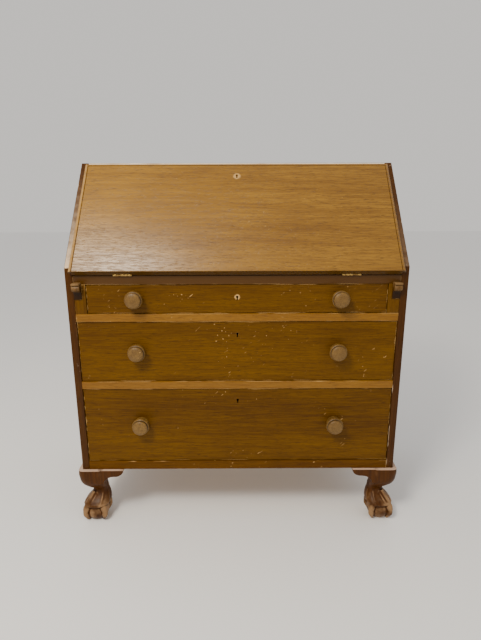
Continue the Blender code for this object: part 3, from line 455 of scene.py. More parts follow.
class Workpiece:
    """A piece on the bench: a mesh that is shaped step by step and then put in the scene."""

    made: int = 0

    def __init__(self, name: str, data: bpy.types.Mesh | None = None) -> None:
        """Starts an empty piece, or one with a mesh's shape."""
        self.name = name
        self.take(data)

    def take(self, data: bpy.types.Mesh | None) -> None:
        """Takes a mesh's shape, with room for the values that the finishes read."""
        self.shape = bmesh.new()
        if data:
            self.shape.from_mesh(data)
        for name in ("arris", "bare", "painted_shade"):
            if name not in self.shape.faces.layers.float:
                self.shape.faces.layers.float.new(name)
        for name in ("rim", "board", "relief"):
            if name not in self.shape.verts.layers.float:
                self.shape.verts.layers.float.new(name)

    def tone(self, layer: str, amount: float, facing: Point, above: float = -1.0) -> "Workpiece":
        """Stores a value on the flat faces that look one way.

        Args:
            layer: "bare" for worn bare colour and painted highlights and sheen, or the painted shade layer for painted
                shade.
            amount: from none to one.
            facing: the way, as a unit vector.
            above: only faces whose middle is higher than this.

        Returns:
            This piece.
        """
        self.shape.normal_update()
        values = self.shape.faces.layers.float[layer]
        for face in self.shape.faces:
            if face.normal.dot(Vector(facing)) > 0.999 and face.calc_center_median().z > above:
                face[values] = amount
        return self

    @classmethod
    def from_node(cls, node: str, name: str | None = None) -> "Workpiece":
        """A copy of a CAD node, its loose triangles welded and its flat faces whole."""
        piece = cls(name or f"{node}_fine", frame["nodes"][node].data)
        bmesh.ops.remove_doubles(piece.shape, verts=piece.shape.verts, dist=WELD)
        piece.flatten()
        return piece

    @classmethod
    def block(cls, name: str, low: Sequence[float], high: Sequence[float]) -> "Workpiece":
        """A block from its lowest to its highest corner."""
        piece = cls(name)
        size = Vector(high) - Vector(low)
        verts = bmesh.ops.create_cube(piece.shape, size=1.0)["verts"]
        bmesh.ops.scale(piece.shape, vec=size, verts=verts)
        bmesh.ops.translate(piece.shape, vec=Vector(low) + size / 2, verts=verts)
        return piece

    @classmethod
    def rod(cls, name: str, start: Point, end: Point, radius: float, sides: int = 32) -> "Workpiece":
        """A round rod from one point to another."""
        piece = cls(name)
        along = Vector(end) - Vector(start)
        matrix = Matrix.Translation((Vector(start) + Vector(end)) / 2) @ along.to_track_quat("Z", "Y").to_matrix().to_4x4()
        bmesh.ops.create_cone(
            piece.shape, cap_ends=True, segments=sides, radius1=radius, radius2=radius, depth=along.length, matrix=matrix
        )
        return piece

    @classmethod
    def turned(cls, name: str, profile: Outline, steps: int = 64) -> "Workpiece":
        """A turned piece: a profile of (radius, height) spun about Z."""
        piece = cls(name)
        spots = [piece.shape.verts.new((radius, 0, height)) for radius, height in profile]
        edges = [piece.shape.edges.new(pair) for pair in pairwise(spots)]
        bmesh.ops.spin(
            piece.shape, geom=spots + edges, cent=(0, 0, 0), axis=(0, 0, 1), angle=2 * math.pi, steps=steps, use_merge=True
        )
        bmesh.ops.remove_doubles(piece.shape, verts=piece.shape.verts, dist=WELD)
        bmesh.ops.recalc_face_normals(piece.shape, faces=piece.shape.faces)
        return piece

    @classmethod
    def sawn(cls, name: str, points: Outline, low: float, high: float) -> "Workpiece":
        """A flat outline in the XY plane, made solid from one height to another."""
        piece = cls(name)
        spots = [piece.shape.verts.new((across, up, low)) for across, up in points]
        face = piece.shape.faces.new(spots)
        raised = bmesh.ops.extrude_face_region(piece.shape, geom=[face])["geom"]
        verts = [item for item in raised if isinstance(item, bmesh.types.BMVert)]
        bmesh.ops.translate(piece.shape, vec=(0, 0, high - low), verts=verts)
        bmesh.ops.recalc_face_normals(piece.shape, faces=piece.shape.faces)
        return piece

    def flatten(self) -> None:
        """Makes one face of the triangles that lie in one plane."""
        bmesh.ops.dissolve_limit(
            self.shape, angle_limit=math.radians(1), verts=self.shape.verts, edges=self.shape.edges
        )

    def move(self, matrix: Matrix) -> "Workpiece":
        """Places the piece, and turns its faces back out if the matrix mirrors it."""
        bmesh.ops.transform(self.shape, matrix=matrix, verts=self.shape.verts)
        if matrix.determinant() < 0:
            bmesh.ops.reverse_faces(self.shape, faces=self.shape.faces)
        return self

    def edges_where(self, chosen: Callable[[bmesh.types.BMEdge], bool]) -> list[bmesh.types.BMEdge]:
        """The edges that pass a test."""
        return [edge for edge in self.shape.edges if chosen(edge)]

    def round_edges(self, width: float, segments: int = 2, chosen: Callable | None = None, sharp: float = 30) -> None:
        """Rounds edges, and marks the new faces as arrises.

        Args:
            width: width of the rounding.
            segments: faces across it.
            chosen: a test for the edges; the sharp ones that stand out if none is given.
            sharp: the angle in degrees from which an edge is sharp.
        """
        limit = math.radians(sharp)
        self.shape.normal_update()
        test = chosen or (lambda edge: edge.is_convex and edge.calc_face_angle(0) > limit)
        result = bmesh.ops.bevel(
            self.shape,
            geom=self.edges_where(test),
            offset=width,
            offset_type="OFFSET",
            affect="EDGES",
            segments=segments,
            profile=0.5,
            material=-1,
            clamp_overlap=True,
        )
        arris = self.shape.faces.layers.float["arris"]
        for face in result["faces"]:
            face[arris] = 1.0

    def mark_rims(self, width: float, least_area: float = 0.002) -> None:
        """Rings each wide flat face with a narrow band, on which wear can fade out.

        Args:
            width: width of the band.
            least_area: the smallest flat face that gets one.
        """
        arris = self.shape.faces.layers.float["arris"]
        rim = self.shape.verts.layers.float["rim"]
        for spot in self.shape.verts:
            spot[rim] = 1.0
        for region in self.flat_regions(arris, least_area):
            if not self.has_room(region, width):
                continue
            bmesh.ops.inset_region(
                self.shape, faces=region, thickness=width, use_boundary=True, use_even_offset=True
            )
            for spot in {spot for face in region for spot in face.verts}:
                spot[rim] = 0.0

    @staticmethod
    def has_room(region: list[bmesh.types.BMFace], width: float) -> bool:
        """Whether a flat region has one convex outline, wide enough for a band inside it.

        Args:
            region: faces side by side in one plane.
            width: width of the band.

        Returns:
            True if the band fits without folding over itself.
        """
        inside = set(region)
        border = [
            loop for face in region for loop in face.loops if not inside.issuperset(loop.edge.link_faces)
        ]
        follows = {loop.vert: loop.link_loop_next.vert for loop in border}
        outline = [border[0].vert]
        while len(outline) <= len(border) and follows[outline[-1]] is not outline[0]:
            outline.append(follows[outline[-1]])
        if len(outline) != len(border):
            return False
        sides = [follows[spot].co - spot.co for spot in outline]
        turns = [before.cross(after).dot(region[0].normal) for before, after in zip(sides, sides[1:] + sides[:1])]
        area = sum(face.calc_area() for face in region)
        return min(turns) > -WELD**2 and area > width * sum(side.length for side in sides)

    def flat_regions(self, arris: bmesh.types.BMLayerItem, least_area: float) -> list[list[bmesh.types.BMFace]]:
        """Groups of faces that lie side by side in one plane and are no arris.

        Args:
            arris: the layer that marks the arrises.
            least_area: the smallest group that counts.

        Returns:
            The groups.
        """
        level = math.radians(1)
        left = {face for face in self.shape.faces if face[arris] == 0}
        regions = []
        while left:
            region, border = [], [left.pop()]
            while border:
                face = border.pop()
                region.append(face)
                beside = {other for edge in face.edges for other in edge.link_faces if other in left}
                flush = {other for other in beside if other.normal.angle(face.normal, 0) < level}
                left -= flush
                border += flush
            if sum(face.calc_area() for face in region) > least_area:
                regions.append(region)
        return regions

    def combined(self, other: "Workpiece", operation: str) -> "Workpiece":
        """Joins another piece to this one, or cuts it away.

        Args:
            other: the other piece, which is used up.
            operation: UNION or DIFFERENCE.

        Returns:
            This piece.
        """
        here, there = self.rough_object(), other.rough_object()
        change = here.modifiers.new("shaping", "BOOLEAN")
        change.operation = operation
        change.object = there
        self.take_evaluated(here)
        bpy.data.objects.remove(there)
        return self

    def rough_object(self) -> bpy.types.Object:
        """Puts the unfinished mesh in the scene for a modifier to work on."""
        data = bpy.data.meshes.new(self.name)
        self.shape.to_mesh(data)
        self.shape.free()
        rough = bpy.data.objects.new(self.name, data)
        bpy.context.scene.collection.objects.link(rough)
        return rough

    def take_evaluated(self, rough: bpy.types.Object) -> None:
        """Takes the shape back from a rough object after its modifiers, and removes it."""
        bpy.context.view_layer.update()
        graph = bpy.context.evaluated_depsgraph_get()
        data = bpy.data.meshes.new_from_object(rough.evaluated_get(graph))
        bpy.data.objects.remove(rough)
        self.take(data)
        bpy.data.meshes.remove(data)

    def fused(self, voxel: float, smoothing: int) -> "Workpiece":
        """Makes one skin of shapes that run into each other, as a carver leaves them.

        Args:
            voxel: size of the new faces.
            smoothing: rounds of smoothing.

        Returns:
            This piece.
        """
        rough = self.rough_object()
        remesh = rough.modifiers.new("carving", "REMESH")
        remesh.mode = "VOXEL"
        remesh.voxel_size = voxel
        self.take_evaluated(rough)
        for _ in range(smoothing):
            bmesh.ops.smooth_vert(
                self.shape, verts=self.shape.verts, factor=0.5, use_axis_x=True, use_axis_y=True, use_axis_z=True
            )
        return self

    def sliced(self, point: Point, outwards: Point) -> "Workpiece":
        """Cuts off what lies beyond a plane, and closes the cut."""
        geometry = self.shape.verts[:] + self.shape.edges[:] + self.shape.faces[:]
        made = bmesh.ops.bisect_plane(self.shape, geom=geometry, plane_co=point, plane_no=outwards, clear_outer=True)
        rim = [item for item in made["geom_cut"] if isinstance(item, bmesh.types.BMEdge)]
        bmesh.ops.edgeloop_fill(self.shape, edges=rim)
        bmesh.ops.recalc_face_normals(self.shape, faces=self.shape.faces)
        return self

    def scored(self, height: float) -> None:
        """Divides the faces at a height, and leaves the shape as it is."""
        geometry = self.shape.verts[:] + self.shape.edges[:] + self.shape.faces[:]
        bmesh.ops.bisect_plane(self.shape, geom=geometry, plane_co=(0, 0, height), plane_no=(0, 0, 1))

    def painted_sheen(self, amount: float, facing: Point, steps: int = 12) -> None:
        """Paints a sheen on the flat faces that look one way, as bare colour, most at their foot and not at all at
        their top.

        Args:
            amount: how strong the painted sheen is at the foot, from none to one.
            facing: the way, as a unit vector.
            steps: how many bands the faces are divided into.
        """
        self.shape.normal_update()
        bare = self.shape.faces.layers.float["bare"]
        way = Vector(facing)
        heights = [
            spot.co.z for face in self.shape.faces if face.normal.dot(way) > 0.999 for spot in face.verts
        ]
        low, high = min(heights), max(heights)
        for count in range(1, steps):
            self.scored(low + (high - low) * count / steps)
        for face in self.shape.faces:
            if face.normal.dot(way) > 0.999:
                drop = (high - face.calc_center_median().z) / (high - low)
                face[bare] = amount * drop**2

    def darkened(self, low: float, high: float, amount: float) -> None:
        """Paints shade on the faces whose middles lie between two heights."""
        painted_shade = self.shape.faces.layers.float["painted_shade"]
        for face in self.shape.faces:
            if low < face.calc_center_median().z < high:
                face[painted_shade] = amount

    def absorb(self, other: "Workpiece") -> "Workpiece":
        """Adds another piece's mesh, left as a body of its own."""
        data = bpy.data.meshes.new(other.name)
        other.shape.to_mesh(data)
        other.shape.free()
        self.shape.from_mesh(data)
        bpy.data.meshes.remove(data)
        return self

    def mark_relief(self, reach: float) -> None:
        """Stores how proud or hollow each spot is: half is flat, one is proud.

        Args:
            reach: the height over its neighbours that counts as fully proud.
        """
        relief = self.shape.verts.layers.float["relief"]
        self.shape.normal_update()
        heights = {}
        for spot in self.shape.verts:
            ring = [edge.other_vert(spot).co for edge in spot.link_edges]
            middle = sum(ring, Vector()) / len(ring)
            heights[spot] = (spot.co - middle).dot(spot.normal) / reach
        for _ in range(3):
            heights = {
                spot: (height + sum(heights[edge.other_vert(spot)] for edge in spot.link_edges))
                / (1 + len(spot.link_edges))
                for spot, height in heights.items()
            }
        for spot, height in heights.items():
            spot[relief] = min(1.0, max(0.0, 0.5 + height))

    def place(self, body: str, slot: Slot, finish: Finish, replaced: Iterable[str] = (), sharp: float = 35) -> bpy.types.Object:
        """Puts the finished piece in the scene, riding on its body.

        Args:
            body: the body that it moves with.
            slot: the record's material slot; not used.
            finish: what it is finished in.
            replaced: CAD nodes that it stands for.
            sharp: the angle in degrees from which an edge stays sharp.

        Returns:
            The finished object.
        """
        Workpiece.made += 1
        board = self.shape.verts.layers.float["board"]
        for spot in self.shape.verts:
            spot[board] = 3.7 * Workpiece.made
        data = bpy.data.meshes.new(self.name)
        self.shape.to_mesh(data)
        self.shape.free()
        if "custom_normal" in data.attributes:
            data.attributes.remove(data.attributes["custom_normal"])
        data.shade_smooth()
        data.set_sharp_from_angle(angle=math.radians(sharp))
        data.materials.clear()
        data.materials.append(finish.material())
        piece = bpy.data.objects.new(self.name, data)
        bpy.context.scene.collection.objects.link(piece)
        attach(piece, body)
        names = list(replaced)
        if names:
            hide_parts(*names)
        LOG.info("%s: %d faces, rides on %s", self.name, len(data.polygons), body)
        return piece


def arc(centre: tuple[float, float], radii: tuple[float, float], start: float, end: float, steps: int) -> Outline:
    """Points on an ellipse's arc, both ends included, with angles in degrees."""
    turns = [math.radians(start + (end - start) * step / steps) for step in range(steps + 1)]
    return [(centre[0] + radii[0] * math.cos(turn), centre[1] + radii[1] * math.sin(turn)) for turn in turns]


def eased(rows: Sequence[Sequence[float]], share: float) -> list[float]:
    """A row between given rows, on a smooth curve through them.

    Args:
        rows: rows of numbers, the first of each being its place on the curve, in falling order.
        share: the place that is asked for.

    Returns:
        The numbers of the row at that place, without the place itself.
    """
    after = next((count for count in range(1, len(rows)) if rows[count][0] <= share), len(rows) - 1)
    low, high = rows[after - 1], rows[after]
    before = rows[max(after - 2, 0)]
    beyond = rows[min(after + 1, len(rows) - 1)]
    t = (share - low[0]) / (high[0] - low[0])
    made = []
    for a, b, c, d in zip(before[1:], low[1:], high[1:], beyond[1:]):
        made.append(b + 0.5 * t * (c - a + t * (2 * a - 5 * b + 4 * c - d + t * (3 * (b - c) + d - a))))
    return made


# ---------------------------------------------------------------------------
# Carcass
# ---------------------------------------------------------------------------


@dataclass
class Board:
    """A plain board: a CAD solid with its arrises eased.

    Attributes:
        node: the CAD node.
        slot: its material slot.
        finish: what it is finished in.
        arris: width of its eased edges.
        rim: width of the band on which wear fades.
        tones: values for Workpiece.tone.
        score: a height at which its faces are divided, so that a tone ends there.
        painted_sheen: strength of the painted sheen at the foot of its faces, and the way that they look.
    """

    node: str
    slot: Slot
    finish: Finish
    arris: float = 0.0010
    rim: float = 0.004
    tones: tuple[tuple[str, float, Point], ...] = ()
    score: float | None = None
    painted_sheen: tuple[float, Point] | None = None

    def build(self) -> bpy.types.Object:
        """Eases the edges and places the board."""
        piece = Workpiece.from_node(self.node)
        piece.round_edges(self.arris)
        piece.mark_rims(self.rim)
        if self.score is not None:
            piece.scored(self.score)
        if self.painted_sheen is not None:
            piece.painted_sheen(*self.painted_sheen)
        for tone in self.tones:
            piece.tone(*tone, above=self.score or 0.0)
        return piece.place(body_of(self.node), self.slot, self.finish, [self.node])


@dataclass
class Carcass:
    """Sides, top, back, rails, dust boards, writing bed and loper housings."""

    side_arris: float = 0.0014
    rail_arris: float = 0.0012
    quirk_drop: float = 0.0032
    quirk_depth: float = 0.0045

    def bed(self) -> None:
        """Builds the writing bed, with a quirk along its front under the fall, and painted shade on its front face
        under the fall's lip.
        """
        bed = Workpiece.from_node("writing_bed")
        low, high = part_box("writing_bed")
        start = Vector((low.x - 0.01, low.y - 0.01, high.z - self.quirk_drop))
        end = Vector((high.x + 0.01, low.y + self.quirk_depth, high.z + 0.01))
        bed.round_edges(self.rail_arris)
        bed.mark_rims(0.004)
        bed.combined(Workpiece.block("quirk", start, end), "DIFFERENCE")
        # Painted shadow: the front face is darkened as if shaded by the fall's lip.
        bed.tone("painted_shade", 0.95, FORWARDS)
        bed.place(body_of("writing_bed"), Slot.RAIL, RAIL_OAK, ["writing_bed"])

    def boards(self) -> list[Board]:
        """The carcass's boards."""
        fall = Fall()
        slanted = (0, -math.sin(fall.slope), math.cos(fall.slope))
        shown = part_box("top_board")[1].z - fall.lip_top_reveal * math.sin(fall.slope)
        made = [
            # The sides' sloped front edges take a painted sheen, as bare colour growing towards their foot: strong on
            # the left, faint on the right.
            Board("side_left", Slot.CASE, SIDE_OAK, self.side_arris, painted_sheen=(1.0, slanted)),
            Board("side_right", Slot.CASE, SIDE_OAK, self.side_arris, painted_sheen=(0.15, slanted)),
            # The top's sloped strip in front of the fall is painted bare as a painted highlight.
            Board(
                "top_board", Slot.CASE, TOP_OAK, self.side_arris, tones=(("bare", 1.0, slanted),), score=shown
            ),
            Board("back_panel", Slot.CASE, BACK_OAK),
            Board("rail_bottom", Slot.RAIL, LOW_RAIL_OAK, self.rail_arris),
        ]
        made += [Board(f"rail_{label}", Slot.RAIL, RAIL_OAK, self.rail_arris) for label in ("middle", "upper")]
        made += [Board(f"loper_housing_{label}", Slot.RAIL, STILE_OAK) for label in ("left", "right")]
        made += [Board(f"dust_board_{label}", Slot.PINE, DUST_PINE) for label in ("middle", "upper")]
        made.append(Board("bottom_board", Slot.CASE, DUST_PINE))
        return made

    def build(self) -> None:
        """Builds every board."""
        for board in self.boards():
            board.build()
        self.bed()


@dataclass
class Fitment:
    """Stationery fitment behind the fall: shelf, dividers and a small drawer with a turned knob."""

    knob_radius: float = 0.008
    knob_reach: float = 0.015

    def knob(self) -> Workpiece:
        """The small drawer's knob, turned about Y."""
        r, reach = self.knob_radius, self.knob_reach
        profile = arc((0, 0.72 * reach), (r, 0.28 * reach), 90, -60, 12)
        profile += [(0.42 * r, 0.34 * reach), (0.42 * r, 0.22 * reach), (0.72 * r, 0.12 * reach)]
        profile += [(0.72 * r, GLUE_GAP), (0, GLUE_GAP)]
        low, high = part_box("small_drawer_knob")
        centre = Vector(((low.x + high.x) / 2, high.y + GLUE_GAP, (low.z + high.z) / 2))
        turn = Matrix.Rotation(math.pi / 2, 4, "X")
        return Workpiece.turned("small_drawer_knob_fine", profile, 40).move(Matrix.Translation(centre) @ turn)

    def build(self) -> None:
        """Builds the fitment."""
        Board("fitment_shelf", Slot.CASE, INNER_OAK, 0.0008).build()
        for label in ("left", "right"):
            Board(f"fitment_divider_{label}", Slot.CASE, SHELF_OAK, 0.0008).build()
        Board("small_drawer", Slot.FRONT, INNER_OAK, 0.0008).build()
        self.knob().place("small_drawer", Slot.BRASS, BRASS, ["small_drawer_knob"])


# ---------------------------------------------------------------------------
# Locks and drawers
# ---------------------------------------------------------------------------


@dataclass
class Lock:
    """A till lock with its bolt: a cased plate held by four slotted screws.

    Attributes:
        prefix: the name that its nodes start with.
        to_desk: from the lock's frame (X across, Y to the locking edge, Z to the front) to the desk's.
        width: of the plate.
        height: of the plate.
        screw: radius of a screw's head.
    """

    prefix: str
    to_desk: Matrix
    width: float = 0.050
    height: float = 0.042
    screw: float = 0.0022

    def build(self) -> None:
        """Builds the lock and its bolt."""
        case = Workpiece.from_node(f"{self.prefix}_lock")
        case.round_edges(0.0004, 1)
        for across in (-1, 1):
            for up in (0.16, 0.84):
                centre = (across * 0.40 * self.width, -up * self.height)
                case.absorb(self.head(centre).move(self.to_desk))
        case.place(body_of(f"{self.prefix}_lock"), Slot.STEEL, STEEL, [f"{self.prefix}_lock"])
        bolt = Workpiece.from_node(f"{self.prefix}_bolt")
        bolt.round_edges(0.0003, 2)
        bolt.place(body_of(f"{self.prefix}_bolt"), Slot.STEEL, STEEL, [f"{self.prefix}_bolt"])

    def head(self, centre: tuple[float, float]) -> Workpiece:
        """A screw's domed head with its slot, sunk in the lock's back face."""
        dome = [(0, -0.0003), (self.screw * 0.75, -0.00022), (self.screw, 0), (self.screw, 0.0006), (0, 0.0006)]
        made = Workpiece.turned("screw", dome, 20)
        slot = Workpiece.block("slot", (-self.screw, -0.0003, -0.0006), (self.screw, 0.0003, 0.0001))
        return made.combined(slot, "DIFFERENCE").move(Matrix.Translation((*centre, 0)))


@dataclass
class Keyhole:
    """A keyhole on the desk's middle line: a round hole with a slot below it.

    Attributes:
        height: of the round hole's centre, along the front.
    """

    height: float
    radius: float = 0.0035
    slot: float = 0.0036
    length: float = 0.013

    def cutter(self, near: float, far: float) -> Workpiece:
        """Cutter through a front that faces -Y, between two depths."""
        hole = Workpiece.rod("keyhole", (0, near, self.height), (0, far, self.height), self.radius)
        below = self.height - self.length + self.radius
        slot = Workpiece.block("slot", (-self.slot / 2, near, below), (self.slot / 2, far, self.height))
        return hole.combined(slot, "UNION")


@dataclass
class LongDrawer:
    """A long drawer: front, box, bottom, two knobs and a lock.

    Attributes:
        name: the name that its nodes start with.
        halo: radius and strength of the bare wood round its keyhole.
        knob_radius: largest radius of a knob.
        knob_reach: how far a knob stands out of the front.
        keyhole_drop: from the front's top to the keyhole's middle.
    """

    name: str
    halo: tuple[float, float]
    knob_radius: float = 0.0245
    knob_reach: float = 0.040
    knob_neck: float = 0.0135
    knob_foot: float = 0.0195
    dowel: float = 0.006
    keyhole_drop: float = 0.0345

    def finish(self) -> Wood:
        """The front's finish, bare round the keyhole, darker than the fall's partly as painted shade."""
        low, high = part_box(f"{self.name}_front")
        keyhole = (0.0, low.y, high.z - self.keyhole_drop)
        radius, strength = self.halo
        spots = ((keyhole, radius, strength),)
        # Darker than the fall's oak: partly the front's own tone, partly painted shade for an upright face that takes
        # less light than the slope.
        return Wood(
            f"{self.name}_oak", (0.152, 0.066, 0.0008), (0.064, 0.023, 0.0003), OAK_BARE, Axis.ACROSS, 0.42, 0.12,
            marks=0.75, wear=0.75, bare_spots=spots,
        )

    def knob_profile(self) -> Outline:
        """A knob from its domed face over a quirk and a round rim to its neck, foot and dowel."""
        r, reach = self.knob_radius, self.knob_reach
        face_edge = 0.86 * r
        profile = arc((0, 0.83 * reach), (face_edge, 0.17 * reach), 90, 0, 16)
        profile += [(face_edge, 0.79 * reach), (0.72 * r, 0.765 * reach), (0.72 * r, 0.71 * reach)]
        profile += arc((0.80 * r, 0.55 * reach), (0.20 * r, 0.155 * reach), 100, -70, 14)
        under, lip = profile[-1]
        neck_top = 0.27 * reach
        profile += arc((under, neck_top), (under - self.knob_neck, lip - neck_top), 90, 180, 8)[1:]
        profile += arc((self.knob_neck + 0.006, 0.24 * reach), (0.006, 0.10 * reach), 200, 270, 5)
        profile += [(self.knob_foot, 0.13 * reach), (self.knob_foot, GLUE_GAP), (self.dowel, GLUE_GAP)]
        profile += [(self.dowel, -0.35 * reach), (0, -0.35 * reach)]
        return profile

    def build(self) -> None:
        """Builds the drawer."""
        self.front().place(self.name, Slot.FRONT, self.finish(), [f"{self.name}_front"])
        Board(f"{self.name}_box", Slot.PINE, PINE, 0.0008).build()
        Board(f"{self.name}_bottom", Slot.PINE, DUST_PINE, 0.0005).build()
        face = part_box(f"{self.name}_front")[0].y
        for label in ("left", "right"):
            node = f"{self.name}_knob_{label}"
            low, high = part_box(node)
            centre = Vector(((low.x + high.x) / 2, face, (low.z + high.z) / 2))
            turn = Matrix.Rotation(math.pi / 2, 4, "X")
            knob = Workpiece.turned(f"{node}_fine", self.knob_profile(), 72)
            # Painted shade in the groove between the knob's face and its rim.
            knob.darkened(0.69 * self.knob_reach, 0.80 * self.knob_reach, 0.9)
            knob.move(Matrix.Translation(centre) @ turn)
            knob.place(self.name, Slot.KNOB, KNOB_WOOD, [node])
        low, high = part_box(f"{self.name}_front")
        edge = Matrix.Translation((0, high.y, high.z))
        Lock(self.name, edge @ Matrix.Rotation(math.pi / 2, 4, "X")).build()

    def front(self) -> Workpiece:
        """The front, its arrises eased, with its keyhole and its lock's recess."""
        low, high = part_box(f"{self.name}_front")
        front = Workpiece.block(f"{self.name}_front_fine", low, high)
        front.round_edges(0.0011, 2)
        front.mark_rims(0.005)
        lock_low, lock_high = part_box(f"{self.name}_lock")
        gap = Vector((GLUE_GAP, GLUE_GAP, GLUE_GAP))
        room = Vector((0, 0.01, 0.01))
        front.combined(Workpiece.block("recess", lock_low - gap, lock_high + gap + room), "DIFFERENCE")
        keyhole = Keyhole(high.z - self.keyhole_drop)
        front.combined(keyhole.cutter(low.y - 0.01, high.y + 0.01), "DIFFERENCE")
        return front


# ---------------------------------------------------------------------------
# Lopers
# ---------------------------------------------------------------------------


@dataclass
class Loper:
    """A pull-out support: a bar with a small carved front."""

    label: str

    def profile(self, reach: float, height: float) -> Outline:
        """The carved front from the side: ledge, fillet, round, hollow and foot."""
        ledge = 0.11 * height
        round_radius = 0.19 * height
        round_centre = (-0.55 * reach, -ledge - round_radius)
        hollow_top = -ledge - 2 * round_radius
        drop = 0.90 * height + hollow_top
        points = [(-GLUE_GAP, 0), (-reach, 0), (-reach, -ledge)]
        points += arc(round_centre, (0.42 * reach, round_radius), 90, 270, 16)
        points += arc((-0.55 * reach, hollow_top - drop), (0.41 * reach, drop), 90, 0, 10)[1:]
        points += [(-0.14 * reach, -height), (-GLUE_GAP, -height)]
        return points

    def build(self) -> None:
        """Builds the bar and its front."""
        Board(f"loper_bar_{self.label}", Slot.CASE, BAR_OAK, 0.0008).build()
        node = f"loper_front_{self.label}"
        low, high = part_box(node)
        reach = high.y - low.y + GLUE_GAP
        height = high.z - low.z
        piece = Workpiece.sawn(f"{node}_fine", self.profile(reach, height), low.x, high.x)
        turn = Matrix(((0, 0, 1, 0), (1, 0, 0, high.y + GLUE_GAP), (0, 1, 0, high.z), (0, 0, 0, 1)))
        piece.move(turn)
        bmesh.ops.recalc_face_normals(piece.shape, faces=piece.shape.faces)
        piece.round_edges(0.0010, 2)
        middle = Vector(((low.x + high.x) / 2, high.y - 0.80 * reach, high.z - 0.34 * height))
        boss = Workpiece("boss")
        size = Matrix.Diagonal((0.0062, 0.0040, 0.0062, 1))
        bmesh.ops.create_uvsphere(
            boss.shape, u_segments=28, v_segments=16, radius=1.0, matrix=Matrix.Translation(middle) @ size
        )
        piece.combined(boss, "UNION")
        self.mark_relief(piece, low, high)
        piece.place(body_of(node), Slot.CARVED, LOPER_OAK, [node])

    def mark_relief(self, piece: Workpiece, low: Vector, high: Vector) -> None:
        """Sets the relief by how far forward each spot lies between the front's corners: the ledge and the boss pale as
        painted highlight, the hollow behind dark as painted shade.
        """
        relief = piece.shape.verts.layers.float["relief"]
        for spot in piece.shape.verts:
            forward = (high.y - spot.co.y) / (high.y - low.y)
            spot[relief] = min(1.0, max(0.0, 1.15 * forward - 0.1))
            # The ledge's top takes the painted highlight in full.
            if spot.co.z > high.z - 0.001:
                spot[relief] = 1.0


# ---------------------------------------------------------------------------
# Fall
# ---------------------------------------------------------------------------


@dataclass
class Hinge:
    """A brass butt hinge between the writing bed and the fall.

    Attributes:
        label: left or right.
        middle: the hinge's middle along X; not used.
        to_bed: from the bed leaf's frame (X along the axis, Y over the leaf) to the desk's.
        to_fall: the same for the fall's leaf.
    """

    label: str
    middle: float
    to_bed: Matrix
    to_fall: Matrix
    length: float = 0.050
    leaf: float = 0.022
    plate: float = 0.0015
    barrel: float = 0.0030
    play: float = 0.0004
    knuckles: int = 5

    def leaf_piece(self, first: int, above: bool) -> Workpiece:
        """One leaf with every second knuckle and three countersunk screws."""
        low, high = (0, self.plate) if above else (-self.plate, 0)
        half = self.length / 2
        name = f"{'fall' if above else 'bed'}_hinge_leaf_{self.label}_fine"
        made = Workpiece.block(name, (-half, self.barrel + self.play, low), (half, self.leaf, high))
        made.round_edges(0.0002, 1)
        pitch = self.length / self.knuckles
        sunk = 2 * WELD  # keeps a tongue's faces out of its neighbours' planes
        for count in range(first, self.knuckles, 2):
            start = -half + pitch * count + GLUE_GAP / 2
            end = start + pitch - GLUE_GAP
            knuckle = Workpiece.rod("knuckle", (start, 0, 0), (end, 0, 0), self.barrel, 28)
            knuckle.round_edges(0.0003, 2, sharp=60)
            back = self.barrel + 2 * self.play
            tongue = Workpiece.block("tongue", (start + sunk, 0, low + sunk), (end - sunk, back, high - sunk))
            made.absorb(knuckle).absorb(tongue)
        for across, along in ((-0.34, 0.68), (0.0, 0.52), (0.34, 0.68)):
            made.absorb(self.screw(across * self.length, along * self.leaf, above))
        return made

    def screw(self, across: float, along: float, above: bool) -> Workpiece:
        """A countersunk screw's head with its slot, a hair below the leaf's open face."""
        radius, proud = 0.0026, 0.00012
        sense = -1 if above else 1
        rod = Workpiece.rod("screw", (across, along, -0.001 * sense), (across, along, proud * sense), radius, 20)
        slot = Workpiece.block(
            "slot", (across - radius, along - 0.0004, -0.0002), (across + radius, along + 0.0004, 0.0004)
        )
        if above:
            slot.move(Matrix.Diagonal((1, 1, -1, 1)))
        return rod.combined(slot, "DIFFERENCE")

    def build(self) -> None:
        """Builds both leaves."""
        pin = Workpiece.rod("pin", (-self.length / 2, 0, 0), (self.length / 2, 0, 0), 0.0012, 16)
        bed = self.leaf_piece(0, False).absorb(pin).move(self.to_bed)
        bed.place("case", Slot.BRASS, BRASS, [f"bed_hinge_leaf_{self.label}"])
        fall = self.leaf_piece(1, True).move(self.to_fall)
        fall.place("fall", Slot.BRASS, BRASS, [f"fall_hinge_leaf_{self.label}"])


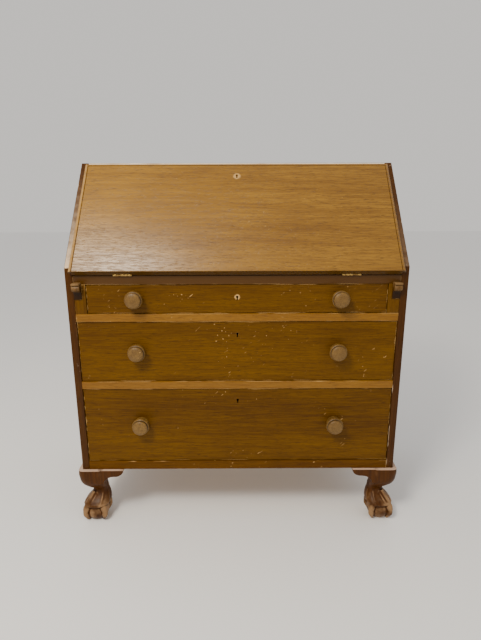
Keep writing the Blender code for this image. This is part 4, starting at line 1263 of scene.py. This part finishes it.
@dataclass
class Fall:
    """The fall: a rebated panel with a thumb-moulded lip, a lock and two hinges.

    Attributes:
        moulding: width of the thumb moulding round three sides of the lip.
        quirk: depth of the groove between the moulding and the flat, and half its width.
        lip_side_reveal: width of side edge that the lip leaves bare.
        lip_top_reveal: width of top edge that it leaves bare.
    """

    moulding: float = 0.0120
    quirk: float = 0.0013
    lip_side_reveal: float = 0.013
    lip_top_reveal: float = 0.008
    keyhole_drop: float = 0.028
    keyhole_radius: float = 0.0035
    keyhole_slot: float = 0.0036
    keyhole_length: float = 0.013
    hinge_spacing: float = 0.606

    def __post_init__(self) -> None:
        """Takes the fall's place from the case."""
        case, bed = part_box("side_left"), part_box("writing_bed")
        self.axis = Vector((0, case[0].y - HINGE_AXIS_AHEAD, bed[1].z))
        top_run = self.slope_top()
        rise, run = case[1].z - self.axis.z, top_run - self.axis.y
        reach = math.hypot(rise, run)
        self.slope = math.atan2(rise, run) - math.asin(FALL_REBATE / reach)
        self.slope_length = math.sqrt(reach**2 - FALL_REBATE**2)
        self.lip_half = -case[0].x - self.lip_side_reveal
        low, high = self.local_box("fall_panel")
        self.inner_half = high.x if high.x < self.lip_half else self.lip_half - 0.0085
        self.to_desk = Matrix.Translation(self.axis) @ Matrix.Rotation(self.slope, 4, "X")
        lock_low, lock_high = self.local_box("fall_lock")
        self.inner_length = lock_high.y

    def slope_top(self) -> float:
        """Where the flat top starts: the front edge of the side's highest points."""
        side = frame["nodes"]["side_left"].data
        top = max(spot.co.z for spot in side.vertices)
        return min(spot.co.y for spot in side.vertices if top - spot.co.z < WELD)

    def local_box(self, node: str) -> tuple[Vector, Vector]:
        """A CAD node's box in the fall's own frame."""
        inverse = (Matrix.Translation(self.axis) @ Matrix.Rotation(self.slope, 4, "X")).inverted()
        spots = [inverse @ spot.co for spot in frame["nodes"][node].data.vertices]
        low = Vector(min(spot[axis] for spot in spots) for axis in range(3))
        high = Vector(max(spot[axis] for spot in spots) for axis in range(3))
        return low, high

    @staticmethod
    def on_moulding(edge: bmesh.types.BMEdge) -> bool:
        """Whether an edge is one of the lip's three moulded ones."""
        high = all(spot.co.z > FALL_THICKNESS - WELD for spot in edge.verts)
        lowest = all(spot.co.y < 0 for spot in edge.verts)
        return high and not lowest

    def lip(self) -> Workpiece:
        """The lip, thumb-moulded at its top and two ends, square at the hinge, with painted shade in its quirk and a
        painted highlight on the faces that look left.
        """
        base = FALL_REBATE + GLUE_GAP
        length = self.slope_length - self.lip_top_reveal
        lip = Workpiece.block("lip", (-self.lip_half, -0.03, base), (self.lip_half, length, FALL_THICKNESS))
        lip.round_edges(self.moulding, 9, self.on_moulding)
        arris, bare, painted_shade = (lip.shape.faces.layers.float[name] for name in ("arris", "bare", "painted_shade"))
        for face in lip.shape.faces:
            face[arris] = 0.0
            # Faces that look left take a painted highlight, as bare colour.
            face[bare] = 0.45 if face.normal.x < -0.2 else 0.0
        flat = [face for face in lip.shape.faces if face.normal.z > 0.999 and face.calc_area() > 0.1]
        # Painted shade: both rings of the quirk are darkened, the deeper one more.
        for depth, dark in ((-self.quirk, 0.9), (self.quirk, 0.55)):
            ring = bmesh.ops.inset_region(
                lip.shape, faces=flat, thickness=self.quirk, depth=depth, use_boundary=True
            )
            for face in ring["faces"]:
                face[painted_shade] = dark
        return lip.sliced((0, 0, 0), (0, -1, 0))

    def keyhole(self) -> Workpiece:
        """Cutter for the keyhole: a round hole with a slot below it."""
        middle = self.inner_length - self.keyhole_drop
        reach = 2 * FALL_THICKNESS
        hole = Workpiece.rod("keyhole", (0, middle, -reach), (0, middle, reach), self.keyhole_radius, 32)
        below = middle - self.keyhole_length + self.keyhole_radius
        half = self.keyhole_slot / 2
        return hole.combined(Workpiece.block("slot", (-half, below, -reach), (half, middle, reach)), "UNION")

    def panel(self) -> Workpiece:
        """The whole panel in its own frame, with the room for its lock and hinges."""
        panel = self.lip()
        panel.name = "fall_panel_fine"
        inner = Workpiece.block(
            "inner", (-self.inner_half, 0, 0), (self.inner_half, self.inner_length, FALL_REBATE + 0.004)
        )
        panel.combined(inner, "UNION")
        lock_low, lock_high = self.local_box("fall_lock")
        gap = Vector((GLUE_GAP, GLUE_GAP, GLUE_GAP))
        recess = Workpiece.block("recess", lock_low - gap - Vector((0, 0, 0.01)), lock_high + gap + Vector((0, 0.01, 0)))
        panel.combined(recess, "DIFFERENCE").combined(self.keyhole(), "DIFFERENCE")
        for side in (-1, 1):
            middle = side * self.hinge_spacing / 2
            half = 0.025 + 0.0004
            barrel = Workpiece.rod("room", (middle - half, 0, 0), (middle + half, 0, 0), 0.0034, 28)
            leaf = Workpiece.block("leaf_room", (middle - half, -0.0004, -0.0015), (middle + half, 0.0223, 0.0018))
            panel.combined(barrel.combined(leaf, "UNION"), "DIFFERENCE")
        return panel

    def finish(self) -> Wood:
        """The fall's finish, bare round the keyhole."""
        middle = self.to_desk @ Vector((0, self.inner_length - self.keyhole_drop - 0.003, FALL_THICKNESS))
        return Wood(
            "fall_oak", (0.345, 0.172, 0.016), (0.130, 0.054, 0.003), OAK_BARE, Axis.ACROSS, 0.31, 0.40,
            contrast=1.3, marks=0.35, wear=0.6, bare_spots=((tuple(middle), 0.0105, 0.75),),
        )

    def build(self) -> None:
        """Builds the panel, its lock and its hinges."""
        panel = self.panel()
        bmesh.ops.remove_doubles(panel.shape, verts=panel.shape.verts, dist=WELD)
        panel.flatten()
        low_edge = [
            edge for edge in panel.shape.edges
            if all(abs(spot.co.y) < WELD and spot.co.z > FALL_THICKNESS - WELD for spot in edge.verts)
        ]
        bmesh.ops.bevel(
            panel.shape, geom=low_edge, offset=0.0012, offset_type="OFFSET", affect="EDGES", segments=2,
            profile=0.5, material=-1,
        )
        # Painted shade on the fall's lower edge face, which looks down and forwards.
        panel.tone("painted_shade", 0.92, FORWARDS).move(self.to_desk)
        panel.place("fall", Slot.FALL, self.finish(), ["fall_panel"], sharp=40)
        Lock("fall", self.to_desk @ Matrix.Translation((0, self.inner_length, 0))).build()
        for side, label in ((-1, "left"), (1, "right")):
            middle = side * self.hinge_spacing / 2
            to_bed = Matrix.Translation(self.axis + Vector((middle, 0, 0)))
            Hinge(label, middle, to_bed, self.to_desk @ Matrix.Translation((middle, 0, 0))).build()


# ---------------------------------------------------------------------------
# Legs
# ---------------------------------------------------------------------------


@dataclass
class CabrioleLeg:
    """A cabriole leg with a ball-and-claw foot and its ears.

    The leg's own frame has its origin on the floor under the case's corner, and X and Y run inwards.

    Attributes:
        name: the CAD node's name.
    """

    name: str
    height: float = 0.174
    knee: float = 0.0133
    post: float = 0.060
    foot: float = 0.0265
    ball: float = 0.034
    ball_height: float = 0.028
    tendon_radius: float = 0.0030
    ring_sides: int = 48
    rings: int = 44
    voxel: float = 0.0016

    def sections(self) -> list[tuple[float, float, float, float]]:
        """Shares of the height with outer face, inner face and squareness, from case to ankle."""
        post = self.post
        return [
            (1.000, -0.0120, post, 6.0),
            (0.935, -0.0132, post, 5.0),
            (0.860, -self.knee, post, 3.6),
            (0.790, -0.0125, post, 3.0),
            (0.720, -0.0085, post, 2.7),
            (0.650, 0.0010, 0.0600, 2.5),
            (0.585, 0.0120, 0.0610, 2.3),
            (0.510, 0.0165, 0.0620, 2.2),
            (0.430, 0.0070, 0.0655, 2.3),
            (0.345, -0.0065, 0.0675, 2.5),
            (0.300, -0.0110, 0.0665, 2.5),
            (0.255, -0.0030, 0.0600, 2.3),
        ]

    def ring(self, shape: bmesh.types.BMesh, centre: Vector, across: Vector, up: Vector, power: float) -> list:
        """A ring of edges about a centre, square for a high power and round for a power of two."""
        verts = bmesh.ops.create_circle(shape, cap_ends=False, segments=self.ring_sides, radius=1.0)["verts"]
        edges = list({edge for spot in verts for edge in spot.link_edges})
        for spot in verts:
            x, y = spot.co.x, spot.co.y
            reach = (abs(x) ** power + abs(y) ** power) ** (-1 / power)
            spot.co = centre + across * (x * reach) + up * (y * reach)
        return edges

    def lofted(self, name: str, rings: Sequence[tuple[Vector, Vector, Vector, float]]) -> Workpiece:
        """A closed solid through rings, each given as centre, two half axes and squareness."""
        piece = Workpiece(name)
        loops = [self.ring(piece.shape, *ring) for ring in rings]
        for upper, lower in pairwise(loops):
            bmesh.ops.bridge_loops(piece.shape, edges=upper + lower)
        for end in (loops[0], loops[-1]):
            bmesh.ops.edgeloop_fill(piece.shape, edges=end)
        bmesh.ops.recalc_face_normals(piece.shape, faces=piece.shape.faces)
        return piece

    def shank(self) -> Workpiece:
        """The leg from above the case's underside to the ankle."""
        rows = self.sections()
        rings = []
        for count in range(self.rings):
            share = 1.0 - (1.0 - rows[-1][0]) * count / (self.rings - 1)
            outer, inner, power = eased(rows, share)
            rings.append(self.shank_ring(outer, inner, power, share * self.height))
        outer, inner, power = rows[0][1:]
        rings.insert(0, self.shank_ring(outer, inner, power, self.height + 0.006))
        return self.lofted("shank", rings)

    @staticmethod
    def shank_ring(outer: float, inner: float, power: float, height: float) -> tuple:
        """One section of the shank."""
        middle, half = (outer + inner) / 2, (inner - outer) / 2
        return Vector((middle, middle, height)), Vector((half, 0, 0)), Vector((0, half, 0)), power

    def claw(self, angle: float) -> Workpiece:
        """A toe from the ankle over three knuckles to its talon, in the upright plane at an angle."""
        steps = [
            (0.00, 0.0060, 0.0860, 0.0070, 0.0070),
            (-0.18, 0.0150, 0.0740, 0.0076, 0.0070),
            (-0.30, 0.0245, 0.0630, 0.0090, 0.0080),
            (-0.42, 0.0315, 0.0525, 0.0090, 0.0080),
            (-0.55, 0.0380, 0.0420, 0.0100, 0.0090),
            (-0.67, 0.0410, 0.0310, 0.0078, 0.0074),
            (-0.77, 0.0400, 0.0220, 0.0084, 0.0078),
            (-0.86, 0.0370, 0.0145, 0.0062, 0.0062),
            (-0.94, 0.0330, 0.0080, 0.0046, 0.0050),
            (-1.00, 0.0290, 0.0020, 0.0028, 0.0032),
        ]
        outwards = Vector((math.cos(angle), math.sin(angle), 0))
        sideways = Vector((-math.sin(angle), math.cos(angle), 0))
        count = 40
        rows = [eased(steps, -step / (count - 1)) for step in range(count)]
        centres = [self.foot_centre() + outwards * row[0] + Vector((0, 0, row[1])) for row in rows]
        rings = []
        for spot, (centre, row) in enumerate(zip(centres, rows)):
            along = (centres[min(spot + 1, count - 1)] - centres[max(spot - 1, 0)]).normalized()
            up = along.cross(sideways).normalized()
            rings.append((centre, sideways * row[2], up * row[3], 2.0))
        sides, self.ring_sides = self.ring_sides, 20
        made = self.lofted("claw", rings)
        self.ring_sides = sides
        return made

    def tendon(self, angle: float) -> Workpiece:
        """A thin tendon from the ankle to the edge of the palm over the ball."""
        outwards = Vector((math.cos(angle), math.sin(angle), 0))
        sideways = Vector((-math.sin(angle), math.cos(angle), 0))
        rows = self.sections()
        centres = []
        for share in (0.50, 0.46, 0.42, 0.38, 0.34, 0.300):
            outer, inner, _ = eased(rows, share)
            middle = Vector(((outer + inner) / 2, (outer + inner) / 2, share * self.height))
            centres.append(middle + outwards * (inner - outer) / 2)
        rings = []
        for spot, centre in enumerate(centres):
            along = (centres[min(spot + 1, 5)] - centres[max(spot - 1, 0)]).normalized()
            up = along.cross(sideways).normalized()
            swell = self.tendon_radius * (0.5 + 0.1 * spot)
            rings.append((centre, sideways * swell, up * swell, 2.0))
        sides, self.ring_sides = self.ring_sides, 14
        made = self.lofted("tendon", rings)
        self.ring_sides = sides
        return made

    def foot_centre(self) -> Vector:
        """The foot's centre on the floor, in the leg's frame."""
        return Vector((self.foot, self.foot, 0))

    def carved(self) -> Workpiece:
        """Shank, ball and claws as one carved solid in the leg's frame."""
        leg = self.shank()
        leg.name = f"{self.name}_fine"
        ball = Workpiece("ball")
        middle = self.foot_centre() + Vector((0, 0, self.ball_height))
        bmesh.ops.create_uvsphere(
            ball.shape, u_segments=56, v_segments=36, radius=self.ball, matrix=Matrix.Translation(middle)
        )
        leg.absorb(ball)
        for count in range(4):
            leg.absorb(self.claw(math.radians(45 + 90 * count)))
        for count in range(8):
            leg.absorb(self.tendon(math.radians(22.5 + 45 * count)))
        leg.fused(self.voxel, 2)
        leg.sliced((0, 0, self.height - GLUE_GAP), (0, 0, 1))
        return leg.sliced((0, 0, 0), (0, 0, -1))

    def build(self, mirrors: Sequence[tuple[str, Matrix]]) -> None:
        """Carves one leg and places it at each corner.

        Args:
            mirrors: for each corner its node and the way from the leg's frame to the desk's.
        """
        pattern = self.carved()
        pattern.mark_relief(0.00045)
        self.wear(pattern)
        data = bpy.data.meshes.new("leg_pattern")
        pattern.shape.to_mesh(data)
        pattern.shape.free()
        for node, to_desk in mirrors:
            leg = Workpiece(f"{node}_fine", data)
            leg.move(to_desk)
            leg.place("case", Slot.CARVED, CARVED_OAK, [node], sharp=60)
        bpy.data.meshes.remove(data)


    def wear(self, leg: Workpiece) -> None:
        """Pales the foot and bares the knee's flat top, where the leg is rubbed most."""
        leg.tone("bare", 1.0, (0.0, 0.0, 1.0))
        relief = leg.shape.verts.layers.float["relief"]
        for spot in leg.shape.verts:
            low = min(1.0, max(0.0, (0.088 - spot.co.z) / 0.030))
            spot[relief] = min(1.0, spot[relief] + 0.17 * low)


@dataclass
class Ear:
    """A carved ear beside a knee.

    Attributes:
        node: the CAD node.
        to_desk: from the ear's frame (X away from the leg, Y up from the case, Z inwards) to the desk's.
    """

    node: str
    to_desk: Matrix
    start: float = 0.0603
    length: float = 0.060
    height: float = 0.046
    cusp: float = 0.034
    lobe: float = 0.0205
    overlap: float = 0.016
    proud: float = 0.009
    depth: float = 0.034

    def profile(self) -> Outline:
        """The ear from the front: a hollow beside the leg, a cusp and a lobe up to the tip."""
        cusp = self.start + self.cusp
        points = [(self.start - self.overlap, -GLUE_GAP)]
        points += arc((cusp, -GLUE_GAP), (self.length - self.cusp, self.lobe), 0, -90, 16)
        points += arc((cusp, -self.height), (self.cusp, self.height - self.lobe), 108, 180, 18)
        points.append((self.start - self.overlap, -self.height))
        return points

    def build(self) -> None:
        """Saws the ear out, rounds its face and places it."""
        piece = Workpiece.sawn(f"{self.node}_fine", self.profile(), -self.proud, self.depth - self.proud)
        piece.round_edges(0.0035, 5, self.on_face)
        piece.move(self.to_desk)
        relief = piece.shape.verts.layers.float["relief"]
        for spot in piece.shape.verts:
            spot[relief] = 0.5
        piece.tone("bare", 1.0, (0.0, 0.0, 1.0))
        piece.place("case", Slot.CARVED, CARVED_OAK, [self.node], sharp=50)

    def on_face(self, edge: bmesh.types.BMEdge) -> bool:
        """Whether an edge runs round the ear's shaped lower face edge."""
        outside = all(spot.co.z < -self.proud + WELD for spot in edge.verts)
        under = all(spot.co.y > -GLUE_GAP - WELD for spot in edge.verts)
        beside = all(spot.co.x < self.start - self.overlap + WELD for spot in edge.verts)
        return outside and not under and not beside


@dataclass
class Legs:
    """The four legs with their ears."""

    back_inset: float = 0.0138

    def corners(self) -> list[tuple[str, Matrix, bool]]:
        """Each leg's name with the way from its frame to the desk's, and whether it is a front leg."""
        low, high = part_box("side_left")[0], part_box("side_right")[1]
        made = []
        for side, label in ((-1, "left"), (1, "right")):
            for front in (True, False):
                y = low.y if front else high.y - self.back_inset
                place = Matrix.Translation((side * high.x, y, 0))
                inwards = Matrix.Diagonal((-side, 1 if front else -1, 1, 1))
                made.append((f"{'front' if front else 'back'}_{label}", place @ inwards, front))
        return made

    def build(self) -> None:
        """Builds the legs and ears."""
        corners = self.corners()
        CabrioleLeg("leg").build([(f"leg_{label}", to_desk) for label, to_desk, _ in corners])
        height = Matrix.Translation((0, 0, CabrioleLeg("leg").height))
        on_side = Matrix(((0, 0, 1, 0), (1, 0, 0, 0), (0, 1, 0, 0), (0, 0, 0, 1)))
        on_front = Matrix(((1, 0, 0, 0), (0, 0, 1, 0), (0, 1, 0, 0), (0, 0, 0, 1)))
        for label, to_desk, front in corners:
            Ear(f"ear_{label}_side", to_desk @ height @ on_side).build()
            if front:
                Ear(f"ear_{label}", to_desk @ height @ on_front).build()


# ---------------------------------------------------------------------------
# Studio
# ---------------------------------------------------------------------------


@dataclass
class Lamp:
    """A soft square lamp.

    Attributes:
        name: its name.
        place: where it hangs.
        aim: what it points at.
        size: length of a side.
        power: in watts.
        colour: of its light.
    """

    name: str
    place: Point
    aim: Point
    size: float
    power: float
    colour: Colour = (1.0, 1.0, 1.0)

    def build(self) -> None:
        """Hangs the lamp."""
        data = bpy.data.lights.new(self.name, "AREA")
        data.size = self.size
        data.energy = self.power
        data.color = self.colour
        lamp = bpy.data.objects.new(self.name, data)
        lamp.location = self.place
        lamp.rotation_euler = (Vector(self.aim) - Vector(self.place)).to_track_quat("-Z", "Y").to_euler()
        bpy.context.scene.collection.objects.link(lamp)


@dataclass
class Studio:
    """A pale floor, soft lamps and a camera a little above the writing height."""

    eye: Point = (0.0029, -1.4720, 0.9519)
    pitch: float = 14.451  # degrees below the horizon
    yaw: float = -0.258
    roll: float = -0.150
    focal_share: float = 0.7501  # focal length over the picture's long side
    sensor: float = 36.0

    def build(self) -> None:
        """Builds the floor, lamps, sky and camera."""
        self.floor()
        aim = (0.0, -0.1, 0.6)
        Lamp("key_lamp", (-0.85, -1.75, 2.30), aim, 0.55, 41, (1.0, 0.95, 0.85)).build()
        Lamp("sheen_lamp", (-1.15, -1.55, 2.7), aim, 0.8, 21, (1.0, 0.83, 0.58)).build()
        Lamp("fill_lamp", (2.2, -2.4, 1.3), aim, 1.8, 3).build()
        world = bpy.data.worlds.new("studio")
        world.use_nodes = True
        world.node_tree.nodes["Background"].inputs["Color"].default_value = (1.0, 0.965, 0.92, 1.0)
        world.node_tree.nodes["Background"].inputs["Strength"].default_value = 0.78
        bpy.context.scene.world = world
        self.camera()

    def floor(self) -> None:
        """A pale floor."""
        data = bpy.data.meshes.new("floor")
        shape = bmesh.new()
        bmesh.ops.create_grid(shape, x_segments=1, y_segments=1, size=12.0)
        shape.to_mesh(data)
        shape.free()
        graph = Graph("floor")
        graph.shader.inputs["Base Color"].default_value = (0.90, 0.90, 0.90, 1.0)
        graph.shader.inputs["Roughness"].default_value = 0.9
        data.materials.append(graph.material)
        made = bpy.data.objects.new("floor", data)
        bpy.context.scene.collection.objects.link(made)

    def camera(self) -> None:
        """The camera that frames the whole desk."""
        data = bpy.data.cameras.new("camera")
        data.sensor_width = self.sensor
        data.lens = self.focal_share * self.sensor
        camera = bpy.data.objects.new("camera", data)
        turn = Matrix.Rotation(math.radians(self.yaw), 4, "Z")
        tilt = Matrix.Rotation(math.radians(90 - self.pitch), 4, "X")
        lean = Matrix.Rotation(math.radians(self.roll), 4, "Z")
        camera.matrix_world = Matrix.Translation(self.eye) @ turn @ tilt @ lean
        bpy.context.scene.collection.objects.link(camera)
        bpy.context.scene.camera = camera


def main() -> None:
    """Builds the desk's classes in order, then the studio."""
    logging.basicConfig(level=logging.INFO, format="%(name)s %(message)s")
    Studio().build()
    Carcass().build()
    Fitment().build()
    for name, halo in (("bottom_drawer", (0.003, 0.2)), ("middle_drawer", (0.004, 0.3)), ("top_drawer", (0.0075, 0.9))):
        LongDrawer(name, halo).build()
    for label in ("left", "right"):
        Loper(label).build()
    Fall().build()
    Legs().build()


if __name__ == "__main__":
    main()
